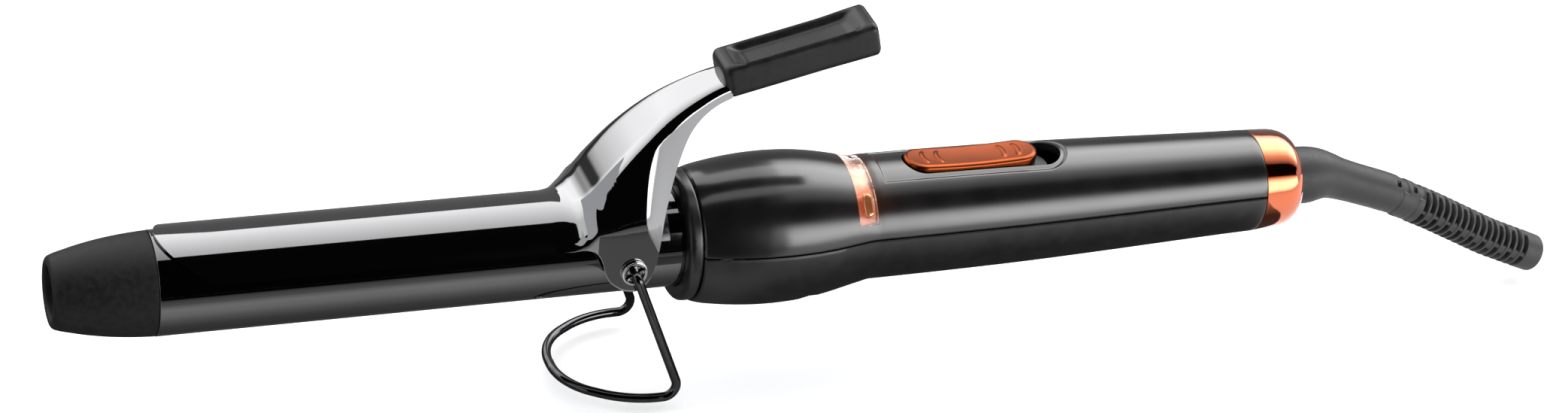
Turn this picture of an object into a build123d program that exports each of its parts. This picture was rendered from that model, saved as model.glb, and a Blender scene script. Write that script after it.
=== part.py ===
"""Curling iron with a spring clamp, wire stand, slide switch and swivelling cord outlet.

Millimetres. The origin is the centre of the cool tip's front face, on the barrel's axis.
+X runs along the barrel towards the handle and cord, +Z is up, and the switch is on top.
"""

from build123d import *
from math import cos, radians, sin
import os

# ---------------------------------------------------------------- driving dimensions
BARREL_R = 12.5
BARREL_WALL = 1.0
TIP_LENGTH = 23.7
BARREL_END_X = 161.0

HANDLE_FRONT_X = 154.4
HANDLE_REAR_X = 304.4
HANDLE_WALL = 2.0
SEAM_Z = 2.4
SEAM_GAP = 0.15
BULB_DROP = 0.35
NECK_X = 199.4

WINDOW_FRONT_X = 193.8
WINDOW_REAR_X = 199.1
WINDOW_HALF_ANGLE = 66.0

PIVOT_X = 137.0
EAR_OUTER_Y = 15.0
SHEET = 0.7
CLAMP_GAP = 0.3
CLAMP_FRONT_X = 24.4
CLAMP_WRAP = 65.0
CLAMP_NOSE = 15.0
LEVER_SLOPE = 13.6

REST_WIDTH = 12.0
REST_HEIGHT = 8.6
REST_LENGTH = 37.5
REST_START = (159.6, 43.6)

WIRE_R = 1.15
STAND_HALF_WIDTH = 19.3
STAND_DROP = 34.0
STAND_BACK = 13.4
FOOT_LENGTH = 27.7
FOOT_SHOULDER = 13.2
FOOT_NOSE_HALF = 9.1

BUTTON_FRONT_X = 209.7
BUTTON_LENGTH = 34.7
BUTTON_WIDTH = 9.8
SWITCH_TRAVEL = 6.0
LANDING_FRONT_X = 202.2
LANDING_REAR_X = 252.4
LANDING_WIDTH = 14.4
LANDING_DEPTH = 0.45

RING_REAR_X = 316.4
RELIEF_EXIT_R = 7.3
RELIEF_R = 5.1
CORD_R = 3.6

SCREW_R = 1.25
FIT = 0.05

# ---------------------------------------------------------------- helpers


def rod(radius, x0, x1, y=0.0, z=0.0):
    """Round bar along X."""
    return Pos((x0 + x1) / 2, y, z) * Rot(0, 90, 0) * Cylinder(radius, x1 - x0)


def pin(radius, y0, y1, x, z=0.0):
    """Round bar along Y."""
    return Pos(x, (y0 + y1) / 2, z) * Rot(90, 0, 0) * Cylinder(radius, abs(y1 - y0))


def post(radius, z0, z1, x, y=0.0):
    """Round bar along Z."""
    return Pos(x, y, (z0 + z1) / 2) * Cylinder(radius, z1 - z0)


def tube(outer, inner, x0, x1):
    """Hollow round bar along X, on the barrel's axis."""
    return rod(outer, x0, x1) - rod(inner, x0 - 1, x1 + 1)


def block(x0, x1, y0, y1, z0, z1):
    """Square-edged block between two corners."""
    centre = Pos((x0 + x1) / 2, (y0 + y1) / 2, (z0 + z1) / 2)
    return centre * Box(x1 - x0, y1 - y0, z1 - z0)


def closed_face(*lines):
    """Flat face inside a closed outline made of lines, arcs and splines."""
    return make_face(Wire([edge for line in lines for edge in line.edges()]))


def turned(*lines):
    """Solid of revolution about the X axis, from a closed outline in the XY plane."""
    return revolve(closed_face(*lines), Axis.X)


def outline(*points):
    """Closed polygon face in the XY plane."""
    return make_face(Polyline(*points, close=True))


def side_prism(face, half_width):
    """Face drawn as (x, z) in XY, turned upright and made two half-widths thick along Y."""
    return extrude(Rot(90, 0, 0) * face, half_width, both=True)


def stadium(x0, x1, width, z0, z1):
    """Round-ended block along X, from z0 up to z1."""
    length = x1 - x0
    face = Pos((x0 + x1) / 2, 0, z0) * SlotOverall(length, width)
    return extrude(face, z1 - z0)


def mirrored(shape):
    """The shape and its copy on the other side of the XZ plane, as one group."""
    return Compound(children=[shape, mirror(shape, Plane.XZ)])


def wire_along(points, radii, radius):
    """Round wire along straight runs that are joined by tangent arcs."""
    path = FilletPolyline(*points, radius=radii) if radii else Polyline(*points)
    start = Plane(origin=path @ 0, z_dir=path % 0)
    return sweep(start * Circle(radius), path)


def group(shapes):
    """Several separate solids kept together in one node."""
    return Compound(children=list(shapes))


def save(name, shape):
    shape.label = name
    export_step(shape, f"parts/{name}.step")


# ---------------------------------------------------------------- barrel and heater

TIP_RECESS_R = 6.2
TIP_RECESS_DEPTH = 10.2
TIP_HEAD_SEAT = 12.6
TIP_HEAD_R = 2.8
TIP_SCREW_R = 1.5
TIP_SPIGOT = 7.0
BARREL_BORE_R = BARREL_R - BARREL_WALL
SPREADER_R = BARREL_BORE_R - 0.15
HEATER_START_X = 44.0
HEATER_END_X = 136.0
PILL_COUNT = 5
PILL = (17.0, 12.0, 2.0)
ELECTRODE = 0.3
FILM = 0.2
HEATER_LEAD_R = 0.8
HEATER_LEAD_Y = 3.0


def cool_tip():
    """Bullet-shaped moulded tip with a blind recess in its front, a sunk seat for the
    screw's head in the recess's floor, and a spigot for the barrel."""
    flank = Spline((1.4, 8.9), (8.1, 10.65), (15.5, 11.8), (TIP_LENGTH, 12.45))
    nose = ThreePointArc((0, 7.6), (0.35, 8.4), (1.4, 8.9))
    head_bore_r = TIP_HEAD_R + 0.4
    screw_bore_r = TIP_SCREW_R + 0.1
    spigot_r = BARREL_BORE_R - FIT
    edges = [
        Line((0, TIP_RECESS_R), (0, 7.6)),
        nose,
        flank,
        Polyline(
            (TIP_LENGTH, 12.45),
            (TIP_LENGTH, spigot_r),
            (TIP_LENGTH + TIP_SPIGOT, spigot_r),
            (TIP_LENGTH + TIP_SPIGOT, screw_bore_r),
            (TIP_HEAD_SEAT, screw_bore_r),
            (TIP_HEAD_SEAT, head_bore_r),
            (TIP_RECESS_DEPTH, head_bore_r),
            (TIP_RECESS_DEPTH, TIP_RECESS_R),
            (0, TIP_RECESS_R),
        ),
    ]
    return turned(*edges)


def cross_recess(across, depth):
    """Plus-shaped driver recess in a screw head, cut down from z = 0."""
    bars = Box(across, across / 4, depth) + Box(across / 4, across, depth)
    return Pos(0, 0, -depth / 2) * bars


def tip_screw():
    head_x = TIP_HEAD_SEAT - 2.0
    head = rod(TIP_HEAD_R, head_x, TIP_HEAD_SEAT)
    head = fillet(head.edges().group_by(Axis.X)[0], 0.8)
    recess = Pos(head_x, 0, 0) * Rot(0, -90, 0) * cross_recess(3.2, 1.2)
    return head + rod(TIP_SCREW_R, TIP_HEAD_SEAT, HEATER_START_X - 6.0) - recess


def tip_anchor():
    """Steel cross bar inside the barrel that the tip's screw pulls against."""
    bar = block(HEATER_START_X - 10, HEATER_START_X - 4, -4, 4, -7, 7)
    return bar - rod(TIP_SCREW_R + FIT, HEATER_START_X - 11, HEATER_START_X - 3)


def barrel_tube():
    return tube(BARREL_R, BARREL_BORE_R, TIP_LENGTH, BARREL_END_X) - rivet_holes()


def heat_spreader(side):
    """Half-round aluminium bar; side is +1 for the upper and -1 for the lower half."""
    bed = PILL[2] / 2 + ELECTRODE + FILM + FIT
    bed_half = PILL[1] / 2 + FILM + 0.3
    half = rod(SPREADER_R, HEATER_START_X, HEATER_END_X)
    half &= block(HEATER_START_X, HEATER_END_X, -20, 20, 1.3, 20)
    half -= block(HEATER_START_X - 1, HEATER_END_X + 1, -bed_half, bed_half, 0, bed)
    for y in (-4.5, 0, 4.5):
        half -= rod(1.4, HEATER_START_X - 1, HEATER_END_X + 1, y, 6.2)
    return half if side > 0 else mirror(half, Plane.XY)


def ptc_pills():
    pitch = PILL[0] + 0.6
    first = (HEATER_START_X + HEATER_END_X - pitch * (PILL_COUNT - 1)) / 2
    return group(Pos(first + i * pitch, 0, 0) * Box(*PILL) for i in range(PILL_COUNT))


def ptc_electrodes():
    """Two contact strips, each with a tab that its lead is crimped to."""
    strips = []
    for side in (-1, 1):
        z0 = PILL[2] / 2 if side > 0 else -PILL[2] / 2 - ELECTRODE
        z1 = z0 + ELECTRODE
        y0 = side * HEATER_LEAD_Y - 1.5
        strip = block(HEATER_START_X + 1.5, HEATER_END_X - 1.5, -6, 6, z0, z1)
        strip += block(HEATER_END_X - 2, HEATER_END_X + 4, y0, y0 + 3.0, z0, z1)
        strips.append(strip)
    return group(strips)


def insulation_film():
    """Flat sleeve that keeps the live strips off the spreaders."""
    inner_y = PILL[1] / 2 + 0.05
    inner_z = PILL[2] / 2 + ELECTRODE + 0.01
    x0, x1 = HEATER_START_X + 0.5, HEATER_END_X - 0.5
    sleeve = block(x0, x1, -inner_y - FILM, inner_y + FILM, -inner_z - FILM, inner_z + FILM)
    return sleeve - block(x0 - 1, x1 + 1, -inner_y, inner_y, -inner_z, inner_z)


def spreader_springs():
    """Wavy leaf strips at both sides that press the spreader halves against the barrel."""
    waves, length, lift, gauge = 8, 10.0, 1.0, 0.3
    start = (HEATER_START_X + HEATER_END_X - waves * length) / 2
    lower, upper = [], []
    for i in range(waves * 2 + 1):
        z = lift - gauge if i % 2 else -lift
        lower.append((start + i * length / 2, z))
        upper.append((start + i * length / 2, z + gauge))
    strip = side_prism(outline(*lower, *reversed(upper)), 1.1)
    return mirrored(Pos(0, 8.4, 0) * strip)


def thermal_fuse():
    can = rod(1.6, 140.5, 149.5, -4.6, 4.2)
    leads = rod(0.35, 137.5, 153, -4.6, 4.2)
    return can + leads


def thermistor():
    bead = Pos(138.8, 4.6, 4.2) * Sphere(1.2)
    legs = [rod(0.3, 139, 152, 4.6 + dy, 4.2) for dy in (-0.5, 0.5)]
    sleeve = rod(1.1, 142, 150, 4.6, 4.2)
    return bead + legs[0] + legs[1] + sleeve


def heater_leads():
    """Two insulated leads from the electrodes to the control board."""
    leads = []
    for side in (-1, 1):
        y = side * HEATER_LEAD_Y
        z0 = side * (PILL[2] / 2 + ELECTRODE / 2)
        points = [
            (HEATER_END_X + 4.2, y, z0),
            (166, y, z0),
            (186, y, 4.5),
            (203, y, 4.5),
            (206, y, 1.9),
        ]
        leads.append(wire_along(points, [8, 10, 1.2], HEATER_LEAD_R))
    return group(leads)


def barrel_end_insulator():
    """Moulded plug in the barrel's rear end, open in the middle for the leads."""
    plug = tube(BARREL_BORE_R - FIT, 8.0, 151, BARREL_END_X)
    return plug + tube(BARREL_R, 8.0, BARREL_END_X, BARREL_END_X + 1.6)


# ---------------------------------------------------------------- collar and pivot bracket

COLLAR_FRONT_X = 150.6
COLLAR_R = 16.2
COLLAR_SPIGOT_R = 13.5
COLLAR_FLANGE_R = 14.5
RETAINER_X = 162.6
COLLAR_SCREW_Y = 13.5


def front_collar():
    """Rounded bead between barrel and handle, with a grooved spigot that the shells grip."""
    bead_end = HANDLE_FRONT_X - 0.25
    bead = tube(COLLAR_R, BARREL_R + FIT, COLLAR_FRONT_X, bead_end)
    outer = bead.edges().filter_by(GeomType.CIRCLE).filter_by(lambda e: e.radius > 16)
    bead = fillet(outer, 1.7)
    spigot = tube(COLLAR_SPIGOT_R, BARREL_R + FIT, bead_end, RETAINER_X)
    flange = tube(COLLAR_FLANGE_R, BARREL_R + FIT, 157.6, RETAINER_X)
    body = bead + spigot + flange
    for y in (-COLLAR_SCREW_Y, COLLAR_SCREW_Y):
        body -= rod(0.75, 158.5, RETAINER_X + 1, y)
    return body


def retainer_ring():
    """Steel plate that traps the barrel's end plug in the collar."""
    plate = tube(COLLAR_FLANGE_R, 9.5, RETAINER_X, RETAINER_X + 1.0)
    for y in (-COLLAR_SCREW_Y, COLLAR_SCREW_Y):
        plate -= rod(0.85, RETAINER_X - 1, RETAINER_X + 2, y)
    return plate


def retainer_screws():
    head_x = RETAINER_X + 1.0
    screw = rod(1.3, head_x, head_x + 1.2, COLLAR_SCREW_Y)
    screw += rod(0.7, 159, head_x, COLLAR_SCREW_Y)
    return mirrored(screw)


BRACKET_X = (129.5, 146.5)
BRACKET_GAUGE = 0.8
LUG_INNER_Y = 12.85
SPRING_PIN = (142.5, 17.6)
SPRING_PIN_R = 1.2
TAB_Y = 4.8
RIVET_X = 143.0
RIVET_ANGLE = 42.0


def rivet_holes():
    return mirrored(Rot(RIVET_ANGLE, 0, 0) * post(0.9, 5, 20, RIVET_X))


def pivot_bracket():
    """Steel saddle over the barrel, with a lug at each side for the pivot and two tabs for
    the spring's pin."""
    x0, x1 = BRACKET_X
    saddle_r = BARREL_R + 0.1
    saddle = tube(saddle_r + BRACKET_GAUGE, saddle_r, x0, x1)
    saddle &= block(x0, x1, -20, 20, 6.0, 20)
    lug_outer = LUG_INNER_Y + BRACKET_GAUGE
    lug = pin(4.6, LUG_INNER_Y, lug_outer, PIVOT_X)
    lug += block(PIVOT_X - 4.6, PIVOT_X + 4.6, LUG_INNER_Y, lug_outer, 0, 5.0)
    web = outline((LUG_INNER_Y, 4.0), (lug_outer, 4.0), (11.6, 6.9), (10.9, 6.5))
    lug += Pos(PIVOT_X - 4.6, 0, 0) * extrude(Plane.YZ * web, 9.2)
    lug -= pin(2.2 + FIT, 12, 15, PIVOT_X)
    spring_x, spring_z = SPRING_PIN
    tab = block(spring_x - 3, spring_x + 3, TAB_Y, TAB_Y + BRACKET_GAUGE, 11.6, spring_z + 2.4)
    tab -= rod(saddle_r, x0, x1)
    tab -= pin(SPRING_PIN_R + FIT, TAB_Y - 1, TAB_Y + 2, spring_x, spring_z)
    for part in (lug, tab):
        saddle = saddle + part + mirror(part, Plane.XZ)
    return saddle - rivet_holes()


def bracket_rivets():
    """Two blind rivets through the saddle and the barrel wall."""
    crown = BARREL_R + 0.1 + BRACKET_GAUGE + FIT
    rivet = post(0.85, BARREL_BORE_R - 0.6, crown, RIVET_X) + post(1.6, crown, crown + 0.6, RIVET_X)
    return mirrored(Rot(RIVET_ANGLE, 0, 0) * rivet)


def spring_pin():
    x, z = SPRING_PIN
    body = pin(SPRING_PIN_R, -TAB_Y - 1.6, TAB_Y + 1.6, x, z)
    for y in (-TAB_Y - 2.0, TAB_Y + 1.4):
        body += pin(1.9, y, y + 0.6, x, z)
    return body


def clamp_spring():
    """Torsion spring: coils round the pin, one leg under the lever and one on the saddle."""
    wire_r, coil_r, pitch = 0.5, 2.2, 1.3
    lever_leg_angle, leg_spread = 50.0, 56.0
    lever_leg, saddle_leg = 11.2, 7.5
    width = pitch * (5.5 - leg_spread / 360)
    coil = Helix(pitch, width, coil_r, center=(0, -width / 2, 0), direction=(0, 1, 0))
    start = Plane(origin=coil @ 0, z_dir=coil % 0)
    body = sweep(start * Circle(wire_r), coil, is_frenet=True)
    legs = ((coil @ 0, coil % 0 * -1, lever_leg), (coil @ 1, coil % 1, saddle_leg))
    for end, away, length in legs:
        leg = Line(end, end + away * length)
        body += sweep(Plane(origin=end, z_dir=away) * Circle(wire_r), leg)
    return Pos(SPRING_PIN[0], 0, SPRING_PIN[1]) * Rot(0, lever_leg_angle, 0) * body


HEAD_R = 3.2
SHANK_R = 2.2
PIVOT_BORE_R = WIRE_R + FIT


def pivot_screws():
    """Hollow shoulder screws: the ears turn on their shanks, the stand's ends in their bores."""
    screw = pin(SHANK_R, 12.85, EAR_OUTER_Y + 0.1, PIVOT_X)
    head = pin(HEAD_R, EAR_OUTER_Y + 0.1, EAR_OUTER_Y + 1.1, PIVOT_X)
    head = fillet(head.edges().group_by(Axis.Y)[-1], 0.5)
    screw += head
    screw -= pin(PIVOT_BORE_R, 12, 18, PIVOT_X)
    recess = Pos(PIVOT_X, EAR_OUTER_Y + 1.1, 0) * Rot(-90, 0, 0) * cross_recess(4.6, 0.7)
    return mirrored(screw - recess)


def pivot_washers():
    y0 = LUG_INNER_Y + BRACKET_GAUGE + 0.05
    y1 = EAR_OUTER_Y - SHEET - 0.1
    return mirrored(pin(4.2, y0, y1, PIVOT_X) - pin(SHANK_R + FIT, 12, 16, PIVOT_X))


# ---------------------------------------------------------------- clamp

CLAMP_INNER_R = BARREL_R + CLAMP_GAP
CLAMP_OUTER_R = CLAMP_INNER_R + SHEET

# Each station of the lever: x, height of its top, half-width at the top, corner radius.
LEVER_STATIONS = [
    (118.0, 13.6, 5.6, 11.5),
    (121.0, 14.0, 6.5, 12.0),
    (124.5, 16.4, 8.8, 9.5),
    (130.0, 21.2, 10.4, 6.5),
    (138.0, 30.2, 9.4, 5.0),
    (146.0, 37.2, 7.7, 4.0),
    (154.0, 41.6, 6.1, 3.0),
    (161.0, 43.9, 5.0, 2.2),
]
LEVER_SHOULDER_Z = 5.0


def lever_section(station, inset):
    """Cross-section of the lever's channel at one station, inset from its outer skin."""
    x, top, half_top, corner = station
    half = EAR_OUTER_Y - inset
    shoulder = LEVER_SHOULDER_Z
    top -= inset
    half_top -= inset
    right = [(half, -9), (half, shoulder), (half_top, top)]
    left = [(-y, z) for y, z in reversed(right)]
    face = outline(*right, *left)
    corners = face.vertices().group_by(Axis.Y)[-1]
    return Pos(x, 0, 0) * (Plane.YZ * fillet(corners, corner - inset))


def lever_channel():
    """Inverted channel that rises from the spoon and narrows towards the thumb rest."""
    outer = loft([lever_section(s, 0) for s in LEVER_STATIONS])
    inner = loft([lever_section(s, SHEET) for s in LEVER_STATIONS])
    channel = outer - inner
    ear_r = 5.6
    ear_side = closed_face(
        Polyline((161, 60), (117, 60), (117, 5.8), (123.5, 5.8)),
        Spline((123.5, 5.8), (128.6, 3.9), (130.0, 0.8), tangents=((1, 0), (0.1, -1))),
        Spline((130.0, 0.8), (132.6, -4.0), (PIVOT_X, -ear_r), tangents=((0.1, -1), (1, 0))),
        Spline((PIVOT_X, -ear_r), (141.6, -2.6), (143.0, 5.0), tangents=((1, 0), (0.1, 1))),
        Spline((143.0, 5.0), (146.6, 25.0), (152.6, 36.0), (161, 40.2)),
        Line((161, 40.2), (161, 60)),
    )
    channel &= side_prism(ear_side, 20)
    return channel - pin(SHANK_R + FIT, -20, 20, PIVOT_X)


def clamp_spoon():
    """One pressed sheet: the spoon over the barrel, the ears at the pivot and the lever."""
    spoon = tube(CLAMP_OUTER_R, CLAMP_INNER_R, CLAMP_FRONT_X, LEVER_STATIONS[0][0])
    wedge_y = 30 * sin(radians(CLAMP_WRAP))
    wedge_z = 30 * cos(radians(CLAMP_WRAP))
    wedge = outline((0, 0), (wedge_y, wedge_z), (wedge_y, 40), (-wedge_y, 40), (-wedge_y, wedge_z))
    spoon &= extrude(Plane.YZ * wedge, 200)
    nose_half = CLAMP_OUTER_R * sin(radians(CLAMP_WRAP))
    nose_x = CLAMP_FRONT_X + CLAMP_NOSE
    plan = Pos(nose_x, 0) * Ellipse(CLAMP_NOSE, nose_half + 0.05)
    plan += Pos(nose_x + 50, 0) * Rectangle(100, 40)
    spoon &= extrude(plan, 20)
    tang_start = (156.0, 40.9)
    tang = Pos(tang_start[0], 0, tang_start[1]) * Rot(0, -LEVER_SLOPE, 0)
    tang = tang * block(0, 32, -4.2, 4.2, 0, 1.4)
    return spoon + lever_channel() + tang


def thumb_rest():
    """Moulded grip on the lever's end, with a long dish for the thumb and a flared far end."""
    x, z = REST_START
    low, high, flare = -REST_HEIGHT / 2, REST_HEIGHT / 2, 0.6
    profile = outline((0, low), (REST_LENGTH, low), (REST_LENGTH - 2.2, high + flare), (0, high))
    body = side_prism(profile, REST_WIDTH / 2)
    body = fillet(body.edges().filter_by(Axis.Y), 1.8)
    body = fillet(body.edges(), 1.2)
    dish_half = REST_WIDTH / 2 - 2.2
    dish = Pos(REST_LENGTH / 2 - 0.6, 0, 5.4) * Box(REST_LENGTH - 8, 2 * dish_half, 3.2)
    body -= fillet(dish.edges().filter_by(Axis.Z), 2.0)
    place = Pos(x, 0, z) * Rot(0, -LEVER_SLOPE, 0)
    moulded = (place * body) - clamp_spoon()
    return moulded.solids().sort_by(SortBy.VOLUME)[-1]


# ---------------------------------------------------------------- stand


def stand_wire():
    """One bent wire: pins in the hollow screws, two legs, and a flat round-nosed foot."""
    heel_x = PIVOT_X + STAND_BACK
    nose_x = heel_x - FOOT_LENGTH
    half = [
        (PIVOT_X, 13.4, 0),
        (PIVOT_X, 17.8, 0),
        (heel_x, STAND_HALF_WIDTH, -STAND_DROP),
        (heel_x - FOOT_SHOULDER, STAND_HALF_WIDTH - 0.1, -STAND_DROP),
        (nose_x, FOOT_NOSE_HALF, -STAND_DROP),
    ]
    points = half + [(x, -y, z) for x, y, z in reversed(half)]
    radii = [1.6, 3.2, 24.0, 16.0]
    return wire_along(points, radii + radii[::-1], WIRE_R)


# ---------------------------------------------------------------- handle shells


def bulb_solid(inset, x0, x1):
    """Swollen front of the handle as a solid, its skin moved in by inset."""
    stations = [
        (HANDLE_FRONT_X, 16.25),
        (160.0, 17.5),
        (167.0, 18.35),
        (175.0, 18.73),
        (183.0, 18.35),
        (190.0, 17.3),
        (196.0, 16.0),
        (NECK_X, 15.36),
    ]
    points = [(x, r - inset) for x, r in stations]
    skin = Spline(*points)
    close = Polyline(points[-1], (NECK_X, 0), (HANDLE_FRONT_X, 0), points[0])
    solid = Pos(0, 0, -BULB_DROP) * turned(skin, close)
    return solid & block(x0, x1, -30, 30, -30, 30)


def grip_solid(inset, x0, x1):
    """Long tapered grip behind the neck as a solid, its skin moved in by inset."""
    stations = [
        (NECK_X, 15.42),
        (225.0, 15.25),
        (250.0, 14.7),
        (278.0, 13.75),
        (HANDLE_REAR_X, 12.85),
    ]
    points = [(x, r - inset) for x, r in stations]
    skin = Spline(*points)
    close = Polyline(points[-1], (HANDLE_REAR_X, 0), (NECK_X, 0), points[0])
    return turned(skin, close) & block(x0, x1, -30, 30, -30, 30)


def handle_solid(inset, x0=HANDLE_FRONT_X, x1=HANDLE_REAR_X):
    return bulb_solid(inset, x0, NECK_X) + grip_solid(inset, NECK_X, x1)


SPIGOT_END_X = 310.4
SPIGOT_R = 11.6
FRONT_BOSSES = [(184.0, -10.5), (184.0, 10.5)]
REAR_BOSSES = [(270.0, 0.0)]
BOSSES = FRONT_BOSSES + REAR_BOSSES
BOSS_R = 3.2
SCREW_HEAD_R = 2.6
SCREW_SEAT_Z = -4.0
BOARD = (204.0, 262.0, 9.5)
BOARD_Z = -0.6
BOARD_TOP = BOARD_Z + 1.6
BOARD_SCREWS = [(207.0, 0.0), (259.0, 0.0)]


def handle_blank():
    """Hollow handle before it is split along the seam."""
    body = handle_solid(0) + rod(SPIGOT_R, HANDLE_REAR_X, SPIGOT_END_X)
    body -= handle_solid(HANDLE_WALL, HANDLE_FRONT_X + 3.0, HANDLE_REAR_X)
    body -= rod(COLLAR_SPIGOT_R + 0.1, HANDLE_FRONT_X - 1, HANDLE_FRONT_X + 4)
    return body - rod(SPIGOT_R - 1.2, HANDLE_REAR_X - 1, SPIGOT_END_X + 1)


def landing_cut():
    """Shallow recess of the skin round the switch."""
    ring = handle_solid(-2) - handle_solid(LANDING_DEPTH)
    half = LANDING_WIDTH / 2
    round_x = LANDING_REAR_X - half
    straight = Rectangle(round_x - LANDING_FRONT_X, LANDING_WIDTH)
    plan = Pos((LANDING_FRONT_X + round_x) / 2, 0) * straight
    plan += Pos(round_x, 0) * Circle(half)
    return ring & extrude(Pos(0, 0, 5) * plan, 15)


def window_sector(inner_inset, outer_inset, x0, x1, half_angle):
    """Arc strip of the handle's wall over its top."""
    strip = handle_solid(outer_inset) - handle_solid(inner_inset)
    strip &= block(x0, x1, -30, 30, -30, 30)
    reach = 40.0
    y, z = reach * sin(radians(half_angle)), reach * cos(radians(half_angle))
    wedge = outline((0, 0), (y, z), (y, reach), (-y, reach), (-y, z))
    return strip & (Pos(x0 - 1, 0, 0) * extrude(Plane.YZ * wedge, x1 - x0 + 2))


def handle_upper_shell(blank):
    shell = blank & block(150, 320, -30, 30, SEAM_Z, 30)
    shell -= landing_cut()
    slot_end = BUTTON_FRONT_X + BUTTON_LENGTH + SWITCH_TRAVEL + 0.5
    shell -= stadium(BUTTON_FRONT_X - 0.5, slot_end, BUTTON_WIDTH + 0.8, 5, 20)
    shell -= window_sector(HANDLE_WALL + 1, -1, WINDOW_FRONT_X, WINDOW_REAR_X, WINDOW_HALF_ANGLE)
    for x, y in BOSSES:
        boss = post(BOSS_R - 0.4, SEAM_Z, 18, x, y) & handle_solid(0.5)
        shell = shell + boss - post(SCREW_R + FIT, 0, 10.5, x, y)
    return shell


def handle_lower_shell(blank):
    shell = blank & block(150, 320, -30, 30, -30, SEAM_Z - SEAM_GAP)
    for x, y in BOSSES:
        boss = post(BOSS_R, -18, SEAM_Z - SEAM_GAP, x, y) & handle_solid(0.5)
        shell = shell + boss - post(SCREW_R + 0.3, -20, 5, x, y)
        shell -= post(SCREW_HEAD_R + 0.2, -20, SCREW_SEAT_Z, x, y)
    for x, y in BOARD_SCREWS:
        boss = post(2.2, -14, BOARD_Z, x, y) & handle_solid(0.5)
        shell = shell + boss - post(0.85, -6, 5, x, y)
    return shell


def handle_screws():
    screws = []
    for x, y in BOSSES:
        screw = post(SCREW_HEAD_R, SCREW_SEAT_Z - 2, SCREW_SEAT_Z, x, y)
        screw = fillet(screw.edges().group_by(Axis.Z)[0], 0.6)
        screw += post(SCREW_R, SCREW_SEAT_Z, 10, x, y)
        recess = Pos(x, y, SCREW_SEAT_Z - 2) * Rot(180, 0, 0) * cross_recess(3.0, 1.2)
        screws.append(screw - recess)
    return group(screws)


LIGHT_PIPE_ANGLE = 48.0
LIGHT_PIPE_X = 196.6


def indicator_window():
    """Clear strip over the handle's top, let into the upper shell."""
    x0, x1 = WINDOW_FRONT_X + FIT, WINDOW_REAR_X - FIT
    strip = window_sector(HANDLE_WALL, 0.05, x0, x1, WINDOW_HALF_ANGLE - 0.3)
    return strip - light_pipe_solid(0.1)


def light_pipe_solid(grow):
    """Upright capsule through the window on the near flank."""
    capsule = SlotOverall(6.0 + 2 * grow, 2.5 + 2 * grow)
    body = extrude(Pos(LIGHT_PIPE_X, 0, 12.0) * Rot(0, 0, 90) * capsule, 4.5)
    return Rot(LIGHT_PIPE_ANGLE, 0, 0) * body


def light_pipe():
    body = light_pipe_solid(0)
    outer_face = body.faces().sort_by_distance((LIGHT_PIPE_X, -30, 27))[0]
    return fillet(outer_face.edges(), 0.9)


def window_reflector():
    """Metallised strip behind the window."""
    strip = window_sector(HANDLE_WALL + 0.9, HANDLE_WALL + 0.4, 192.5, 200.5, WINDOW_HALF_ANGLE + 4)
    return strip - light_pipe_solid(0.3)


# ---------------------------------------------------------------- electronics

SWITCH_BODY_X = (218.0, 240.0)


def control_board():
    x0, x1, half = BOARD
    board = block(x0, x1, -half, half, BOARD_Z, BOARD_TOP)
    for x, y in BOARD_SCREWS:
        board -= post(1.2, BOARD_Z - 1, BOARD_TOP + 1, x, y)
    return board


def board_screws():
    screws = []
    for x, y in BOARD_SCREWS:
        screws.append(post(1.9, BOARD_TOP, BOARD_TOP + 1.2, x, y) + post(0.8, -5, BOARD_TOP, x, y))
    return group(screws)


def indicator_led():
    """Lamp under the light pipe, on two long legs from the board's front edge."""
    lens = Pos(LIGHT_PIPE_X, 0, 9.0) * (Cylinder(1.5, 3.0) + Pos(0, 0, 1.5) * Sphere(1.5))
    lens = Rot(LIGHT_PIPE_ANGLE, 0, 0) * lens
    leg_y, foot_z = -5.9, BOARD_TOP + 0.4
    legs = []
    for dx in (-0.7, 0.7):
        x = LIGHT_PIPE_X + dx
        points = [(x, leg_y, 5.0), (x, leg_y, foot_z), (205.5, leg_y + dx, foot_z)]
        legs.append(wire_along(points, [0.8], 0.25))
    return lens + legs[0] + legs[1]


def slide_switch_body():
    x0, x1 = SWITCH_BODY_X
    body = block(x0, x1, -4.5, 4.5, BOARD_TOP, 7.2)
    body = chamfer(body.edges().group_by(Axis.Z)[-1], 0.4)
    return body - block(224.0, 236.5, -1.6, 1.6, 4.0, 8)


def switch_actuator():
    """Sliding stud of the switch, moved by the fork under the button."""
    return block(225.0, 229.0, -1.4, 1.4, 4.4, 9.4)


def switch_slider():
    """Slide plate under the slot, with a fork for the stud."""
    plate = stadium(BUTTON_FRONT_X - 3.4, BUTTON_FRONT_X + BUTTON_LENGTH + 3.4, 12.6, 9.6, 10.9)
    for x in (223.6, 229.2):
        plate += block(x, x + 1.2, -1.8, 1.8, 7.6, 9.7)
    return plate - block(225.0 - FIT, 229.0 + FIT, -1.45, 1.45, 9, 9.45)


def switch_button():
    """Metallised slide button with a dished top and two pairs of grip ridges."""
    front, rear = BUTTON_FRONT_X, BUTTON_FRONT_X + BUTTON_LENGTH
    body = stadium(front, rear, BUTTON_WIDTH, 10.9, 15.9)
    body = fillet(body.edges().group_by(Axis.Z)[-1], 1.2)
    dish_r = 130.0
    dish = Pos((front + rear) / 2, 0, 15.2 + dish_r) * Rot(90, 0, 0) * Cylinder(dish_r, 7.0)
    body -= dish
    ridge_xs = [front + 5.0, front + 9.4, rear - 9.4, rear - 5.0]
    for x in ridge_xs:
        ridge = Pos(x, 0, 14.9) * Rot(90, 0, 0) * Cylinder(0.7, 4.4)
        body += ridge
    return body


def triac():
    body = block(244.5, 254.5, -5.0, 5.0, BOARD_TOP, BOARD_TOP + 4.4)
    return body + block(254.5, 256.8, -5.0, 5.0, BOARD_TOP, BOARD_TOP + 1.2)


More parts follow.
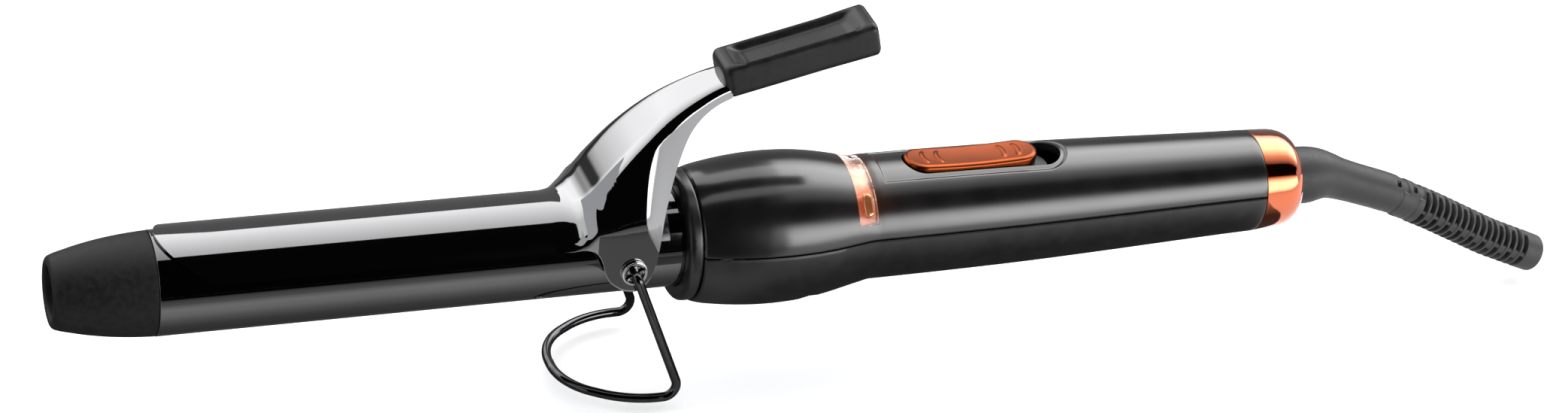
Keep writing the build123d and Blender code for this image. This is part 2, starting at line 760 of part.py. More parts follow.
def film_capacitor():
    body = block(209.5, 216.5, -8.0, -2.2, BOARD_TOP, BOARD_TOP + 6.4)
    return fillet(body.edges().filter_by(Axis.Z), 0.8)


# ---------------------------------------------------------------- swivel and cord outlet

SHAFT_R = 5.0
SHAFT_START_X = 284.0
RING_WIDTH = 3.0
RING_XS = (286.0, 292.0)
BEARING_X = (298.0, 303.0)


def swivel_shaft():
    """Hollow shaft that carries the slip rings and turns with the strain relief."""
    shaft = tube(SHAFT_R, CORD_R - 0.4, SHAFT_START_X, 317.0)
    shaft += tube(7.4, CORD_R - 0.4, BEARING_X[1] + 0.35, 306.0)
    return shaft


def slip_rings():
    return group(tube(6.0, SHAFT_R, x, x + RING_WIDTH) for x in RING_XS)


def swivel_bearing():
    """Fixed ring that the shaft turns in; its rim is held by the shells."""
    return tube(SPIGOT_R - 1.25, SHAFT_R + FIT, *BEARING_X)


def brush_block():
    body = block(280.5, 297.0, -4.5, 4.5, -10.2, -8.4)
    return body & handle_solid(HANDLE_WALL + 0.2)


def brush_contacts():
    """Two bowed leaf springs that run on the slip rings."""
    leaves = []
    for x in RING_XS:
        bow = outline((-4.4, -8.4), (0, -6.8), (4.4, -8.4), (4.4, -8.0), (0, -6.4), (-4.4, -8.0))
        leaves.append(Pos(x + 0.4, 0, 0) * extrude(Plane.YZ * bow, RING_WIDTH - 0.8))
    return group(leaves)


def supply_wires():
    """Two wires from the brushes to the rear of the board."""
    wires = []
    for side in (-1, 1):
        route = [(281, 3.4, -7.4), (274, 5.2, -6.0), (266, 6.4, 2.0), (260.5, 6.4, 2.0)]
        points = [(x, side * y, z) for x, y, z in route]
        wires.append(wire_along(points, [3, 2], 0.8))
    return group(wires)


def end_ring():
    """Bright cap that holds the shells together at the rear."""
    front, rear = HANDLE_REAR_X + 0.1, RING_REAR_X
    rim_start, lip = (rear - 5.0, 12.5), (rear, 8.9)
    inner_r = SPIGOT_R + FIT
    outer = [
        Line((front, 12.8), rim_start),
        Spline(rim_start, (rear - 1.4, 11.2), lip, tangents=((1, -0.06), (0.05, -1))),
        Polyline(lip, (rear, 7.9), (rear - 2.0, 7.9), (rear - 2.0, 10.0)),
        Polyline((rear - 2.0, 10.0), (rear - 4.6, inner_r), (front, inner_r), (front, 12.8)),
    ]
    return turned(*outer)


RELIEF_START_X = 312.0
RELIEF_PATH = [(325.0, 0.0), (345.0, -7.4), (360.0, -14.8), (378.0, -24.6), (396.0, -32.9)]
SLOT_COUNT = 17
SLOT_PITCH = 2.26
SLOT_WIDTH = 1.1
SLOT_FLOOR_R = 4.1
PLAIN_END = 6.3
BRIDGES = ((1.2, 3.0), (2.6, 1.2))


def relief_path():
    points = [(RELIEF_START_X, 0, 0)] + [(x, 0, z) for x, z in RELIEF_PATH]
    return FilletPolyline(*points, radius=[18, 60, 90, 70])


def strain_relief():
    """Rubber boot: an elbow that swivels in the end ring, then a slotted flexible tail."""
    path = relief_path()
    plane = Plane(origin=path @ 0, z_dir=path % 0)
    body = sweep(plane * Circle(RELIEF_R), path)
    flange_r, flange_x = 9.2, RING_REAR_X - 2.3
    neck, tail = (321.0, RELIEF_EXIT_R), (330.0, 4.6)
    start, flange = (RELIEF_START_X, 0), (RELIEF_START_X, flange_r)
    root = turned(
        Polyline(start, flange, (flange_x, flange_r), (flange_x, RELIEF_EXIT_R), neck),
        Spline(neck, (325.0, 6.6), tail, tangents=((1, 0), (1, -0.4))),
        Polyline(tail, (tail[0], 0), start),
    )
    body += root
    body -= sweep(plane * Circle(CORD_R), path)
    body -= rod(SHAFT_R + FIT, RELIEF_START_X - 1, 317.2)
    for i in range(SLOT_COUNT):
        spot = path.location_at(1 - (PLAIN_END + i * SLOT_PITCH) / path.length)
        side_bridge, top_bridge = BRIDGES[i % 2]
        slots = Cylinder(RELIEF_R + 1, SLOT_WIDTH) - Cylinder(SLOT_FLOOR_R, 2 * SLOT_WIDTH)
        slots -= Box(20, top_bridge, 2 * SLOT_WIDTH)
        slots -= Box(side_bridge, 20, 2 * SLOT_WIDTH)
        body -= spot * slots
    return body


# ---------------------------------------------------------------- all the parts


def main():
    os.makedirs("parts", exist_ok=True)
    blank = handle_blank()
    parts = {
        "cool_tip": cool_tip(),
        "tip_screw": tip_screw(),
        "tip_anchor": tip_anchor(),
        "barrel_tube": barrel_tube(),
        "heat_spreader_upper": heat_spreader(1),
        "heat_spreader_lower": heat_spreader(-1),
        "ptc_pills": ptc_pills(),
        "ptc_electrodes": ptc_electrodes(),
        "insulation_film": insulation_film(),
        "spreader_springs": spreader_springs(),
        "thermal_fuse": thermal_fuse(),
        "thermistor": thermistor(),
        "heater_leads": heater_leads(),
        "barrel_end_insulator": barrel_end_insulator(),
        "front_collar": front_collar(),
        "retainer_ring": retainer_ring(),
        "retainer_screws": retainer_screws(),
        "pivot_bracket": pivot_bracket(),
        "bracket_rivets": bracket_rivets(),
        "spring_pin": spring_pin(),
        "clamp_spring": clamp_spring(),
        "pivot_screws": pivot_screws(),
        "pivot_washers": pivot_washers(),
        "clamp_spoon": clamp_spoon(),
        "thumb_rest": thumb_rest(),
        "stand_wire": stand_wire(),
        "handle_upper_shell": handle_upper_shell(blank),
        "handle_lower_shell": handle_lower_shell(blank),
        "handle_screws": handle_screws(),
        "indicator_window": indicator_window(),
        "light_pipe": light_pipe(),
        "window_reflector": window_reflector(),
        "control_board": control_board(),
        "board_screws": board_screws(),
        "indicator_led": indicator_led(),
        "slide_switch_body": slide_switch_body(),
        "switch_actuator": switch_actuator(),
        "switch_slider": switch_slider(),
        "switch_button": switch_button(),
        "triac": triac(),
        "film_capacitor": film_capacitor(),
        "swivel_shaft": swivel_shaft(),
        "slip_rings": slip_rings(),
        "swivel_bearing": swivel_bearing(),
        "brush_block": brush_block(),
        "brush_contacts": brush_contacts(),
        "supply_wires": supply_wires(),
        "end_ring": end_ring(),
        "strain_relief": strain_relief(),
    }
    for name, shape in parts.items():
        save(name, shape)


main()
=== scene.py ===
"""Looks for the curling iron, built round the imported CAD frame. Lengths below are in
millimetres in the frame's own axes, and are turned into metres as each mesh is made."""

from math import acos, asin, atan2, ceil, cos, degrees, exp, hypot, pi, radians, sin, sqrt, tan

import bmesh
import bpy
from mathutils import Matrix, Vector


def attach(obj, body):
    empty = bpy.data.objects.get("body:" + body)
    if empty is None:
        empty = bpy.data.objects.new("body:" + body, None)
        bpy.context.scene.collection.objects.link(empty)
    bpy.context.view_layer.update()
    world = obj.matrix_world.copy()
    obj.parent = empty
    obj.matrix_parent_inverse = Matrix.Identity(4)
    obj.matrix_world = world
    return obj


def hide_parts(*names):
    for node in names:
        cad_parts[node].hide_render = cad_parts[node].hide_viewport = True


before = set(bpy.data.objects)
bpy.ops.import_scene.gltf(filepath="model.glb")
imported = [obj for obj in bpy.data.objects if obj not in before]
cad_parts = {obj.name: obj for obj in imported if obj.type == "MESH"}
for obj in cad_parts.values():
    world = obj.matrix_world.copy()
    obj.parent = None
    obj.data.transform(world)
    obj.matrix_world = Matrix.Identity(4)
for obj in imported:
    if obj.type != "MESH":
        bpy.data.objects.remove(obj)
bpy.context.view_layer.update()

MM = 0.001

# ---------------------------------------------------------------- curves


def smooth_table(table):
    """Monotone cubic through (x, value...) rows; returns a function of x."""
    xs = [row[0] for row in table]
    cols = list(zip(*table))[1:]
    slopes = []
    for ys in cols:
        d = [(ys[i + 1] - ys[i]) / (xs[i + 1] - xs[i]) for i in range(len(xs) - 1)]
        m = [d[0]]
        for i in range(1, len(d)):
            if d[i - 1] * d[i] <= 0:
                m.append(0.0)
            else:
                w1 = 2 * (xs[i + 1] - xs[i]) + (xs[i] - xs[i - 1])
                w2 = (xs[i + 1] - xs[i]) + 2 * (xs[i] - xs[i - 1])
                m.append((w1 + w2) / (w1 / d[i - 1] + w2 / d[i]))
        m.append(d[-1])
        slopes.append(m)

    def at(x):
        x = min(max(x, xs[0]), xs[-1])
        i = max(k for k in range(len(xs) - 1) if xs[k] <= x)
        h = xs[i + 1] - xs[i]
        t = (x - xs[i]) / h
        out = []
        for ys, m in zip(cols, slopes):
            out.append(
                (2 * t ** 3 - 3 * t * t + 1) * ys[i] + (t ** 3 - 2 * t * t + t) * h * m[i]
                + (3 * t * t - 2 * t ** 3) * ys[i + 1] + (t ** 3 - t * t) * h * m[i + 1]
            )
        return out[0] if len(out) == 1 else tuple(out)

    return at


def smoothstep(a, b, x):
    """0 at a and 1 at b, easing in and out."""
    t = min(max((x - a) / (b - a), 0.0), 1.0)
    return t * t * (3 - 2 * t)


def bezier(a, b, c, t):
    """Point at t (0 to 1) on the quadratic curve from a to c that leans towards b."""
    return (1 - t) ** 2 * a + 2 * t * (1 - t) * b + t * t * c


def circle(x, y, radius, count=40):
    """Points of a circle in plan."""
    return [(x + radius * cos(2 * pi * k / count), y + radius * sin(2 * pi * k / count))
            for k in range(count)]


def spaced(a, b, step):
    """Evenly spaced numbers from a to b, at most step apart."""
    n = max(1, ceil(abs(b - a) / step))
    return [a + (b - a) * i / n for i in range(n + 1)]


def filleted(points, radii, step):
    """Line through the points with its corners rounded to the radii, sampled at step."""
    pts = [Vector(p) for p in points]
    out = [pts[0]]
    for i in range(1, len(pts) - 1):
        a, b, c = pts[i - 1], pts[i], pts[i + 1]
        u, v = (a - b).normalized(), (c - b).normalized()
        half = acos(max(-1, min(1, u.dot(v)))) / 2
        run = radii[i - 1] / tan(half)
        centre = b + (u + v).normalized() * radii[i - 1] / sin(half)
        start, end = b + u * run, b + v * run
        r0, r1 = start - centre, end - centre
        turn = r0.angle(r1)
        axis = r0.cross(r1).normalized()
        n = max(3, ceil(turn * radii[i - 1] / step))
        for k in range(n + 1):
            out.append(centre + Matrix.Rotation(turn * k / n, 3, axis) @ r0)
    out.append(pts[-1])
    dense = [out[0]]
    for p in out[1:]:
        gap = (p - dense[-1]).length
        n = max(1, ceil(gap / step))
        start = dense[-1]
        dense += [start.lerp(p, k / n) for k in range(1, n + 1)]
    return dense


# ---------------------------------------------------------------- meshes


def skin(rings, around=True, ends=True):
    """Points and quads of a skin over rings that all have the same number of points."""
    n = len(rings[0])
    points = [p for ring in rings for p in ring]
    faces = []
    for i in range(len(rings) - 1):
        for j in range(n if around else n - 1):
            a, b = i * n + j, i * n + (j + 1) % n
            faces.append((a, b, b + n, a + n))
    if ends:
        faces.append(tuple(range(n - 1, -1, -1)))
        faces.append(tuple(range((len(rings) - 1) * n, len(rings) * n)))
    return points, faces


def lathe(profile, segments=160, drop=0.0):
    """Points and quads of a closed (x, radius) profile turned about the X axis."""
    rings = []
    for k in range(segments):
        a = 2 * pi * k / segments
        rings.append([(x, r * sin(a), r * cos(a) - drop) for x, r in profile])
    rings.append(rings[0])
    return skin(rings, ends=False)


def rounded(profile, radius, sides=5):
    """Closed (x, r) polygon with every marked corner rounded; corners are (x, r, k) and
    k scales the radius, 0 for a corner left sharp."""
    out = []
    n = len(profile)
    for i, (x, y, k) in enumerate(profile):
        if not k:
            out.append((x, y))
            continue
        a, c = Vector(profile[i - 1][:2]), Vector(profile[(i + 1) % n][:2])
        b = Vector((x, y))
        u, v = a - b, c - b
        reach = min(radius * k, u.length * 0.45, v.length * 0.45)
        p, q = b + u.normalized() * reach, b + v.normalized() * reach
        out += [tuple(bezier(p, b, q, s / sides)) for s in range(sides + 1)]
    return out


def tube_along(path, radius_at, around=48, ends=True):
    """Points and quads of a round skin along a path; radius_at(length, angle) may dent it.
    Angle 0 is on the side of -Y and +90 degrees is above."""
    rings, run = [], 0.0
    up = Vector((0, 0, 1))
    for i, p in enumerate(path):
        ahead = path[min(i + 1, len(path) - 1)] - path[max(i - 1, 0)]
        ahead.normalize()
        if i:
            run += (p - path[i - 1]).length
        if abs(ahead.z) > 0.9:
            up = Vector((1, 0, 0))
        side = ahead.cross(up).normalized()
        if side.y > 0 and abs(side.y) > 0.5:
            side = -side
        top = side.cross(ahead).normalized()
        if top.z < 0:
            top = -top
        ring = []
        for k in range(around):
            a = 2 * pi * k / around
            r = radius_at(run, a)
            ring.append(tuple(p + (side * cos(a) + top * sin(a)) * r))
        rings.append(ring)
    return skin(rings, ends=ends)


def sweep(path, radius, around=20):
    """Round wire along a path, with frames carried along it so that it never twists."""
    first = (path[1] - path[0]).normalized()
    side = first.orthogonal().normalized()
    rings = []
    for i, p in enumerate(path):
        ahead = (path[min(i + 1, len(path) - 1)] - path[max(i - 1, 0)]).normalized()
        side = (side - ahead * side.dot(ahead)).normalized()
        other = ahead.cross(side)
        ring = []
        for k in range(around):
            a = 2 * pi * k / around
            ring.append(tuple(p + (side * cos(a) + other * sin(a)) * radius))
        rings.append(ring)
    return skin(rings)


def make(name, points, faces, material=None, sharp=32.0):
    """Mesh object from points in millimetres, smooth apart from edges over sharp degrees."""
    mesh = bpy.data.meshes.new(name)
    mesh.from_pydata([(x * MM, y * MM, z * MM) for x, y, z in points], [], faces)
    bm = bmesh.new()
    bm.from_mesh(mesh)
    bmesh.ops.remove_doubles(bm, verts=bm.verts, dist=1e-7)
    bmesh.ops.recalc_face_normals(bm, faces=bm.faces)
    bm.to_mesh(mesh)
    bm.free()
    obj = bpy.data.objects.new(name, mesh)
    bpy.context.scene.collection.objects.link(obj)
    if material:
        mesh.materials.append(material)
    soften(obj, sharp)
    return obj


def soften(obj, sharp):
    """Smooth shading apart from edges over sharp degrees."""
    obj.data.shade_smooth()
    obj.data.set_sharp_from_angle(angle=radians(sharp))


def settle(obj, sharp=32.0):
    """Makes the modifiers' result the mesh itself."""
    graph = bpy.context.evaluated_depsgraph_get()
    mesh = bpy.data.meshes.new_from_object(obj.evaluated_get(graph))
    obj.modifiers.clear()
    obj.data = mesh
    soften(obj, sharp)


def cut(obj, cutters, sharp=32.0):
    """Cuts the closed meshes (points, faces) out of obj."""
    made = []
    for i, (points, faces) in enumerate(cutters):
        cutter = make(f"cutter_{i}", points, faces)
        trim = obj.modifiers.new("cut", "BOOLEAN")
        trim.operation, trim.solver, trim.object = "DIFFERENCE", "EXACT", cutter
        made.append(cutter)
    settle(obj, sharp)
    for cutter in made:
        bpy.data.objects.remove(cutter)


def place(obj, body, slot, *nodes):
    """Rides the piece on its body and hides the CAD nodes it replaces. The slot argument is not
    used.
    """
    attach(obj, body)
    if nodes:
        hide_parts(*nodes)
    return obj


def stadium_ring(x0, x1, half, z, count=64):
    """Closed ring round a stadium in plan, at height z."""
    ring = []
    for k in range(count):
        a = 2 * pi * (k + 0.5) / count
        cx = x1 - half if cos(a) > 0 else x0 + half
        ring.append((cx + half * cos(a), half * sin(a), z))
    return ring


# ---------------------------------------------------------------- materials


def surface(name, low, high, rough, grain=60.0, detail=4.0, stretch=(1, 1, 1), bump=0.0,
            bump_grain=2500.0, bump_depth=0.05, **fixed):
    """Principled material: colour and roughness drift between two values on one noise, and
    a finer noise raises the skin. Other words set the shader's own sockets."""
    material = bpy.data.materials.new(name)
    material.use_nodes = True
    nodes, links = material.node_tree.nodes, material.node_tree.links
    shader = nodes["Principled BSDF"]
    for socket, value in fixed.items():
        shader.inputs[socket.replace("_", " ")].default_value = value
    where = nodes.new("ShaderNodeTexCoord")
    mapping = nodes.new("ShaderNodeMapping")
    mapping.inputs["Scale"].default_value = stretch
    links.new(where.outputs["Object"], mapping.inputs["Vector"])
    noise = nodes.new("ShaderNodeTexNoise")
    noise.inputs["Scale"].default_value = grain
    noise.inputs["Detail"].default_value = detail
    links.new(mapping.outputs["Vector"], noise.inputs["Vector"])
    ramp = nodes.new("ShaderNodeValToRGB")
    ramp.color_ramp.elements[0].position = 0.3
    ramp.color_ramp.elements[1].position = 0.7
    ramp.color_ramp.elements[0].color = (*low, 1)
    ramp.color_ramp.elements[1].color = (*high, 1)
    links.new(noise.outputs["Fac"], ramp.inputs["Fac"])
    links.new(ramp.outputs["Color"], shader.inputs["Base Color"])
    spread = nodes.new("ShaderNodeMapRange")
    spread.inputs["From Min"].default_value = 0.3
    spread.inputs["From Max"].default_value = 0.7
    spread.inputs["To Min"].default_value = rough[0]
    spread.inputs["To Max"].default_value = rough[1]
    links.new(noise.outputs["Fac"], spread.inputs["Value"])
    links.new(spread.outputs["Result"], shader.inputs["Roughness"])
    if bump:
        fine = nodes.new("ShaderNodeTexNoise")
        fine.inputs["Scale"].default_value = bump_grain
        fine.inputs["Detail"].default_value = 3.0
        links.new(mapping.outputs["Vector"], fine.inputs["Vector"])
        raised = nodes.new("ShaderNodeBump")
        raised.inputs["Strength"].default_value = bump
        raised.inputs["Distance"].default_value = bump_depth * MM
        links.new(fine.outputs["Fac"], raised.inputs["Height"])
        links.new(raised.outputs["Normal"], shader.inputs["Normal"])
    return material


def paint_window_glow(material, x0, x1, colour, strength):
    """Paints a soft glow onto the material as emission, standing in for light that leaks from the
    window; it fades along X and grows towards the top.
    """
    nodes, links = material.node_tree.nodes, material.node_tree.links
    shader = nodes["Principled BSDF"]
    where = nodes.new("ShaderNodeTexCoord")
    parts = nodes.new("ShaderNodeSeparateXYZ")
    links.new(where.outputs["Object"], parts.inputs["Vector"])
    ramp = nodes.new("ShaderNodeValToRGB")
    span = nodes.new("ShaderNodeMapRange")
    span.inputs["From Min"].default_value = x0 * MM
    span.inputs["From Max"].default_value = x1 * MM
    links.new(parts.outputs["X"], span.inputs["Value"])
    links.new(span.outputs["Result"], ramp.inputs["Fac"])
    stops = ramp.color_ramp.elements
    stops[0].color = (0, 0, 0, 1)
    stops[1].color = (0, 0, 0, 1)
    for position, share in ((0.22, 0.25), (0.40, 1.0), (0.52, 1.0), (0.72, 0.22)):
        stop = stops.new(position)
        stop.color = tuple(c * share for c in colour) + (1,)
    over = nodes.new("ShaderNodeMapRange")
    over.inputs["From Min"].default_value = 0.002
    over.inputs["From Max"].default_value = 0.012
    links.new(parts.outputs["Z"], over.inputs["Value"])
    mixed = nodes.new("ShaderNodeMix")
    mixed.data_type = "RGBA"
    mixed.inputs["A"].default_value = (0, 0, 0, 1)
    links.new(over.outputs["Result"], mixed.inputs["Factor"])
    links.new(ramp.outputs["Color"], mixed.inputs["B"])
    links.new(mixed.outputs["Result"], shader.inputs["Emission Color"])
    shader.inputs["Emission Strength"].default_value = strength


COPPER = (0.62, 0.115, 0.022)
COPPER_DARK = (0.50, 0.085, 0.015)

slots = {
    "tip_plastic": surface("tip_plastic", (0.004, 0.004, 0.0042), (0.009, 0.009, 0.0092),
                           (0.5, 0.62), grain=700, bump=0.35, bump_grain=3200, bump_depth=0.04,
                           Specular_IOR_Level=0.2),
    "zinc_steel": surface("zinc_steel", (0.45, 0.45, 0.44), (0.62, 0.62, 0.6), (0.25, 0.4),
                          grain=900, Metallic=1.0, bump=0.1, bump_grain=5000),
    "barrel_chrome": surface("barrel_chrome", (0.145, 0.145, 0.148), (0.165, 0.165, 0.168),
                             (0.03, 0.07), grain=45, stretch=(0.3, 1, 1), Metallic=1.0),
    "aluminium": surface("aluminium", (0.6, 0.6, 0.61), (0.75, 0.75, 0.76), (0.3, 0.42),
                         grain=500, stretch=(0.1, 1, 1), Metallic=1.0, bump=0.15),
    "ceramic": surface("ceramic", (0.30, 0.29, 0.28), (0.42, 0.41, 0.39), (0.5, 0.65), grain=1500,
                       bump=0.2),
    "brass": surface("brass", (0.62, 0.42, 0.16), (0.76, 0.54, 0.24), (0.22, 0.36), grain=900,
                     Metallic=1.0),
    "film": surface("film", (0.45, 0.22, 0.03), (0.58, 0.30, 0.05), (0.15, 0.25), grain=400),
    "spring_steel": surface("spring_steel", (0.32, 0.32, 0.33), (0.45, 0.45, 0.46), (0.18, 0.3),
                            grain=1200, Metallic=1.0),
    "glass_bead": surface("glass_bead", (0.35, 0.12, 0.05), (0.5, 0.2, 0.08), (0.05, 0.12),
                          grain=600),
    "wire_insulation": surface("wire_insulation", (0.5, 0.5, 0.48), (0.62, 0.62, 0.6),
                               (0.4, 0.55), grain=1500, bump=0.15),
    "heatproof_plastic": surface("heatproof_plastic", (0.05, 0.048, 0.045), (0.075, 0.072, 0.07),
                                 (0.45, 0.6), grain=900, bump=0.15),
    "collar_plastic": surface("collar_plastic", (0.004, 0.004, 0.0042), (0.007, 0.007, 0.0072),
                              (0.26, 0.36), grain=500, bump=0.06, bump_grain=3500,
                              bump_depth=0.02),
    "bracket_steel": surface("bracket_steel", (0.14, 0.14, 0.145), (0.22, 0.22, 0.225),
                             (0.2, 0.32), grain=700, Metallic=1.0, bump=0.06),
    "screw_chrome": surface("screw_chrome", (0.58, 0.58, 0.59), (0.68, 0.68, 0.69), (0.05, 0.12),
                            grain=800, Metallic=1.0),
    "washer_nylon": surface("washer_nylon", (0.02, 0.02, 0.02), (0.04, 0.04, 0.04), (0.4, 0.5),
                            grain=900),
    "clamp_chrome": surface("clamp_chrome", (0.27, 0.27, 0.274), (0.295, 0.295, 0.30),
                            (0.02, 0.05), grain=40, stretch=(0.3, 1, 1), Metallic=1.0),
    "rest_plastic": surface("rest_plastic", (0.006, 0.006, 0.0062), (0.011, 0.011, 0.0112),
                            (0.28, 0.38), grain=500, bump=0.08, bump_grain=2800, bump_depth=0.03,
                            Specular_IOR_Level=0.3),
    "stand_chrome": surface("stand_chrome", (0.055, 0.055, 0.057), (0.085, 0.085, 0.088),
                            (0.06, 0.14), grain=300, Metallic=1.0),
    "handle_gloss": surface("handle_gloss", (0.004, 0.004, 0.0042), (0.007, 0.007, 0.0072),
                            (0.17, 0.22), grain=90, bump=0.02, bump_grain=1500, bump_depth=0.02,
                            IOR=1.6),
    "handle_matte": surface("handle_matte", (0.005, 0.005, 0.0052), (0.009, 0.009, 0.0092),
                            (0.36, 0.44), grain=300, bump=0.08, bump_grain=2600, bump_depth=0.03),
    "window_clear": surface("window_clear", (0.95, 0.78, 0.68), (1.0, 0.86, 0.78), (0.01, 0.05),
                            grain=260, bump=0.35, bump_grain=170, bump_depth=0.5,
                            Transmission_Weight=1.0, IOR=1.49),
    "pipe_clear": surface("pipe_clear", (0.72, 0.20, 0.07), (0.9, 0.36, 0.16), (0.06, 0.14),
                          grain=300, bump=0.25, bump_grain=220, bump_depth=0.3, Metallic=0.75),
    "copper_foil": surface("copper_foil", (0.85, 0.20, 0.04), (0.98, 0.72, 0.60), (0.12, 0.3),
                           grain=210, detail=5, Metallic=0.7, bump=0.8, bump_grain=240,
                           bump_depth=0.9),
    "copper_chrome": surface("copper_chrome", COPPER_DARK, COPPER, (0.05, 0.10), grain=50,
                             Metallic=1.0, Coat_Weight=1.0, Coat_Roughness=0.04, Coat_IOR=1.6),
    "board_green": surface("board_green", (0.01, 0.09, 0.035), (0.02, 0.14, 0.05), (0.3, 0.4),
                           grain=500),
    "led_amber": surface("led_amber", (0.8, 0.28, 0.02), (1.0, 0.42, 0.05), (0.08, 0.16),
                         grain=400),
    "switch_black": surface("switch_black", (0.015, 0.015, 0.016), (0.03, 0.03, 0.03),
                            (0.35, 0.45), grain=600),
    "slider_black": surface("slider_black", (0.010, 0.010, 0.010), (0.018, 0.018, 0.018),
                            (0.35, 0.5), grain=600),
    "capacitor_yellow": surface("capacitor_yellow", (0.6, 0.42, 0.05), (0.72, 0.5, 0.08),
                                (0.3, 0.4), grain=500),
    "relief_rubber": surface("relief_rubber", (0.007, 0.007, 0.0072), (0.013, 0.013, 0.0132),
                             (0.5, 0.62), grain=600, bump=0.22, bump_grain=2600, bump_depth=0.04),
}
button_copper = surface("button_copper", (0.19, 0.038, 0.010), (0.25, 0.052, 0.014), (0.24, 0.32),
                        grain=70, Metallic=1.0, bump=0.04, bump_grain=1500, bump_depth=0.02)
# Painted glow: emission on the gloss shell round the window stands in for the window's light
# falling on it.
paint_window_glow(slots["handle_gloss"], 186.0, 212.0, (0.75, 0.16, 0.02), 0.03)

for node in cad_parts.values():
    for spot in node.material_slots:
        spot.material = slots[spot.material.name.split(".")[0]]

# ---------------------------------------------------------------- cool tip and barrel

TIP_LENGTH = 23.7
RECESS_R = 6.2
BARREL_R = 12.5
tip_radius = smooth_table([
    (1.4, 8.9), (2.6, 9.28), (4.0, 9.62), (6.0, 10.12), (8.1, 10.6), (10.3, 11.02), (12.4, 11.38),
    (14.5, 11.67), (16.6, 11.92), (18.7, 12.12), (20.9, 12.28), (23.3, 12.42),
])
tip_profile = [(0.9, RECESS_R), (0.55, 6.26), (0.25, 6.45), (0.06, 6.75), (0.0, 7.1), (0.0, 7.5),
               (0.08, 7.9), (0.3, 8.3), (0.7, 8.62)]
tip_profile += [(x, tip_radius(x)) for x in spaced(1.4, 23.3, 0.8)]
tip_profile += [(23.55, 12.38), (TIP_LENGTH, 12.2), (TIP_LENGTH, 11.4), (30.6, 11.4), (30.6, 1.6),
                (12.6, 1.6)]
tip_profile += [(12.6, 3.2), (10.2, 3.2), (10.2, 5.9), (9.9, RECESS_R)]
place(make("cool_tip_shell", *lathe(tip_profile, 128), slots["tip_plastic"]), "iron",
      "tip_plastic", "cool_tip")

barrel = [(23.75, 11.5, 0), (23.75, BARREL_R, 1), (161.0, BARREL_R, 0), (161.0, 11.5, 0)]
place(make("barrel_sleeve", *lathe(rounded(barrel, 0.25), 256), slots["barrel_chrome"]), "iron",
      "barrel_chrome", "barrel_tube")

COLLAR_R = 16.2
collar = [(150.6, 12.56, 0.2), (150.6, COLLAR_R, 1), (154.15, COLLAR_R, 0.55), (154.15, 13.5, 0),
          (160.0, 13.5, 0), (160.0, 12.56, 0)]
place(make("collar_bead", *lathe(rounded(collar, 1.7, 8), 192), slots["collar_plastic"]), "iron",
      "collar_plastic", "front_collar")

# ---------------------------------------------------------------- clamp

SPOON_R = 13.5
SHEET = 0.7
NOSE_X = 39.4
NOSE_LENGTH = 15.0
EDGE_ANGLE = radians(65)
LEVER_X, LEVER_SET_X, LEVER_END_X = 118.0, 125.0, 161.0
# Lever along X: height of the top, half-width of the top, corner radius, widest half-width.
lever_at = smooth_table([
    (118.0, 13.50, 5.6, 11.5, 13.5), (121.0, 13.60, 6.0, 11.5, 13.9),
    (123.0, 14.0, 6.6, 11.0, 14.2), (125.0, 15.2, 7.2, 10.0, 14.6), (127.5, 18.1, 8.3, 8.4, 15.0),
    (130.0, 21.5, 9.3, 6.8, 15.0), (134.0, 26.3, 9.4, 5.6, 15.0), (139.0, 31.4, 8.9, 4.9, 15.0),
    (145.7, 37.0, 7.7, 4.2, 14.6), (152.5, 40.9, 6.4, 3.4, 13.6), (158.0, 43.2, 5.6, 2.8, 12.6),
    (161.0, 44.0, 5.3, 2.5, 12.2),
])
# Height of the pressing's lower edge along X, down round the ear and up the lever.
ear_edge = smooth_table([
    (118.0, 5.7), (121.5, 6.2), (124.6, 7.0), (126.6, 6.6), (128.4, 4.6), (129.3, 2.4),
    (129.9, 0.2), (131.0, -2.1), (132.9, -3.9), (135.1, -5.2), (137.5, -5.6), (139.8, -4.4),
    (141.4, -2.2), (142.4, 0.8), (143.4, 8.5), (145.2, 17.5), (147.4, 25.6), (150.9, 33.5),
    (155.0, 37.6), (158.0, 39.3), (161.0, 40.4),
])
ACROSS = 96


def resample(line, count):
    """Evenly spaced points along a polyline of (y, z)."""
    runs = [0.0]
    for a, b in zip(line, line[1:]):
        runs.append(runs[-1] + hypot(b[0] - a[0], b[1] - a[1]))
    out, k = [], 0
    for i in range(count + 1):
        goal = runs[-1] * i / count
        while k < len(runs) - 2 and runs[k + 1] < goal:
            k += 1
        t = (goal - runs[k]) / max(runs[k + 1] - runs[k], 1e-9)
        (y0, z0), (y1, z1) = line[k], line[k + 1]
        out.append((y0 + (y1 - y0) * t, z0 + (z1 - z0) * t))
    return out


def lever_half(x):
    """Half of the lever's cross-section as (y, z), from the middle of its top to its edge."""
    top, half_top, corner, widest = lever_at(x)
    edge = ear_edge(x)
    shoulder = Vector((widest, min(12.0 - 7.0 * smoothstep(139.0, 146.0, x), top - 6.0)))
    crown = Vector((half_top, top))
    slope = (shoulder - crown).normalized()
    inward = Vector((-1.0, 0.0))
    half_angle = acos(max(-1, min(1, slope.dot(inward)))) / 2
    run = min(corner / tan(half_angle), half_top * 0.98, (shoulder - crown).length * 0.9)
    line = [(0.0, top)]
    for s in range(17):
        t = s / 16
        p = bezier(crown + inward * run, crown, crown + slope * run, t)
        line.append((p.x, p.y))
    bend = min(3.0, (shoulder - crown).length * 0.2)
    low = shoulder.y - bend
    for s in range(9):
        t = s / 8
        p = bezier(shoulder - slope * bend, shoulder, Vector((widest, low)), t)
        line.append((p.x, p.y))
    line.append((widest, -12.0))
    kept = []
    for a, b in zip(line, line[1:]):
        kept.append(a)
        if b[1] <= edge:
            t = (a[1] - edge) / max(a[1] - b[1], 1e-9)
            kept.append((a[0] + (b[0] - a[0]) * t, edge))
            break
    return kept


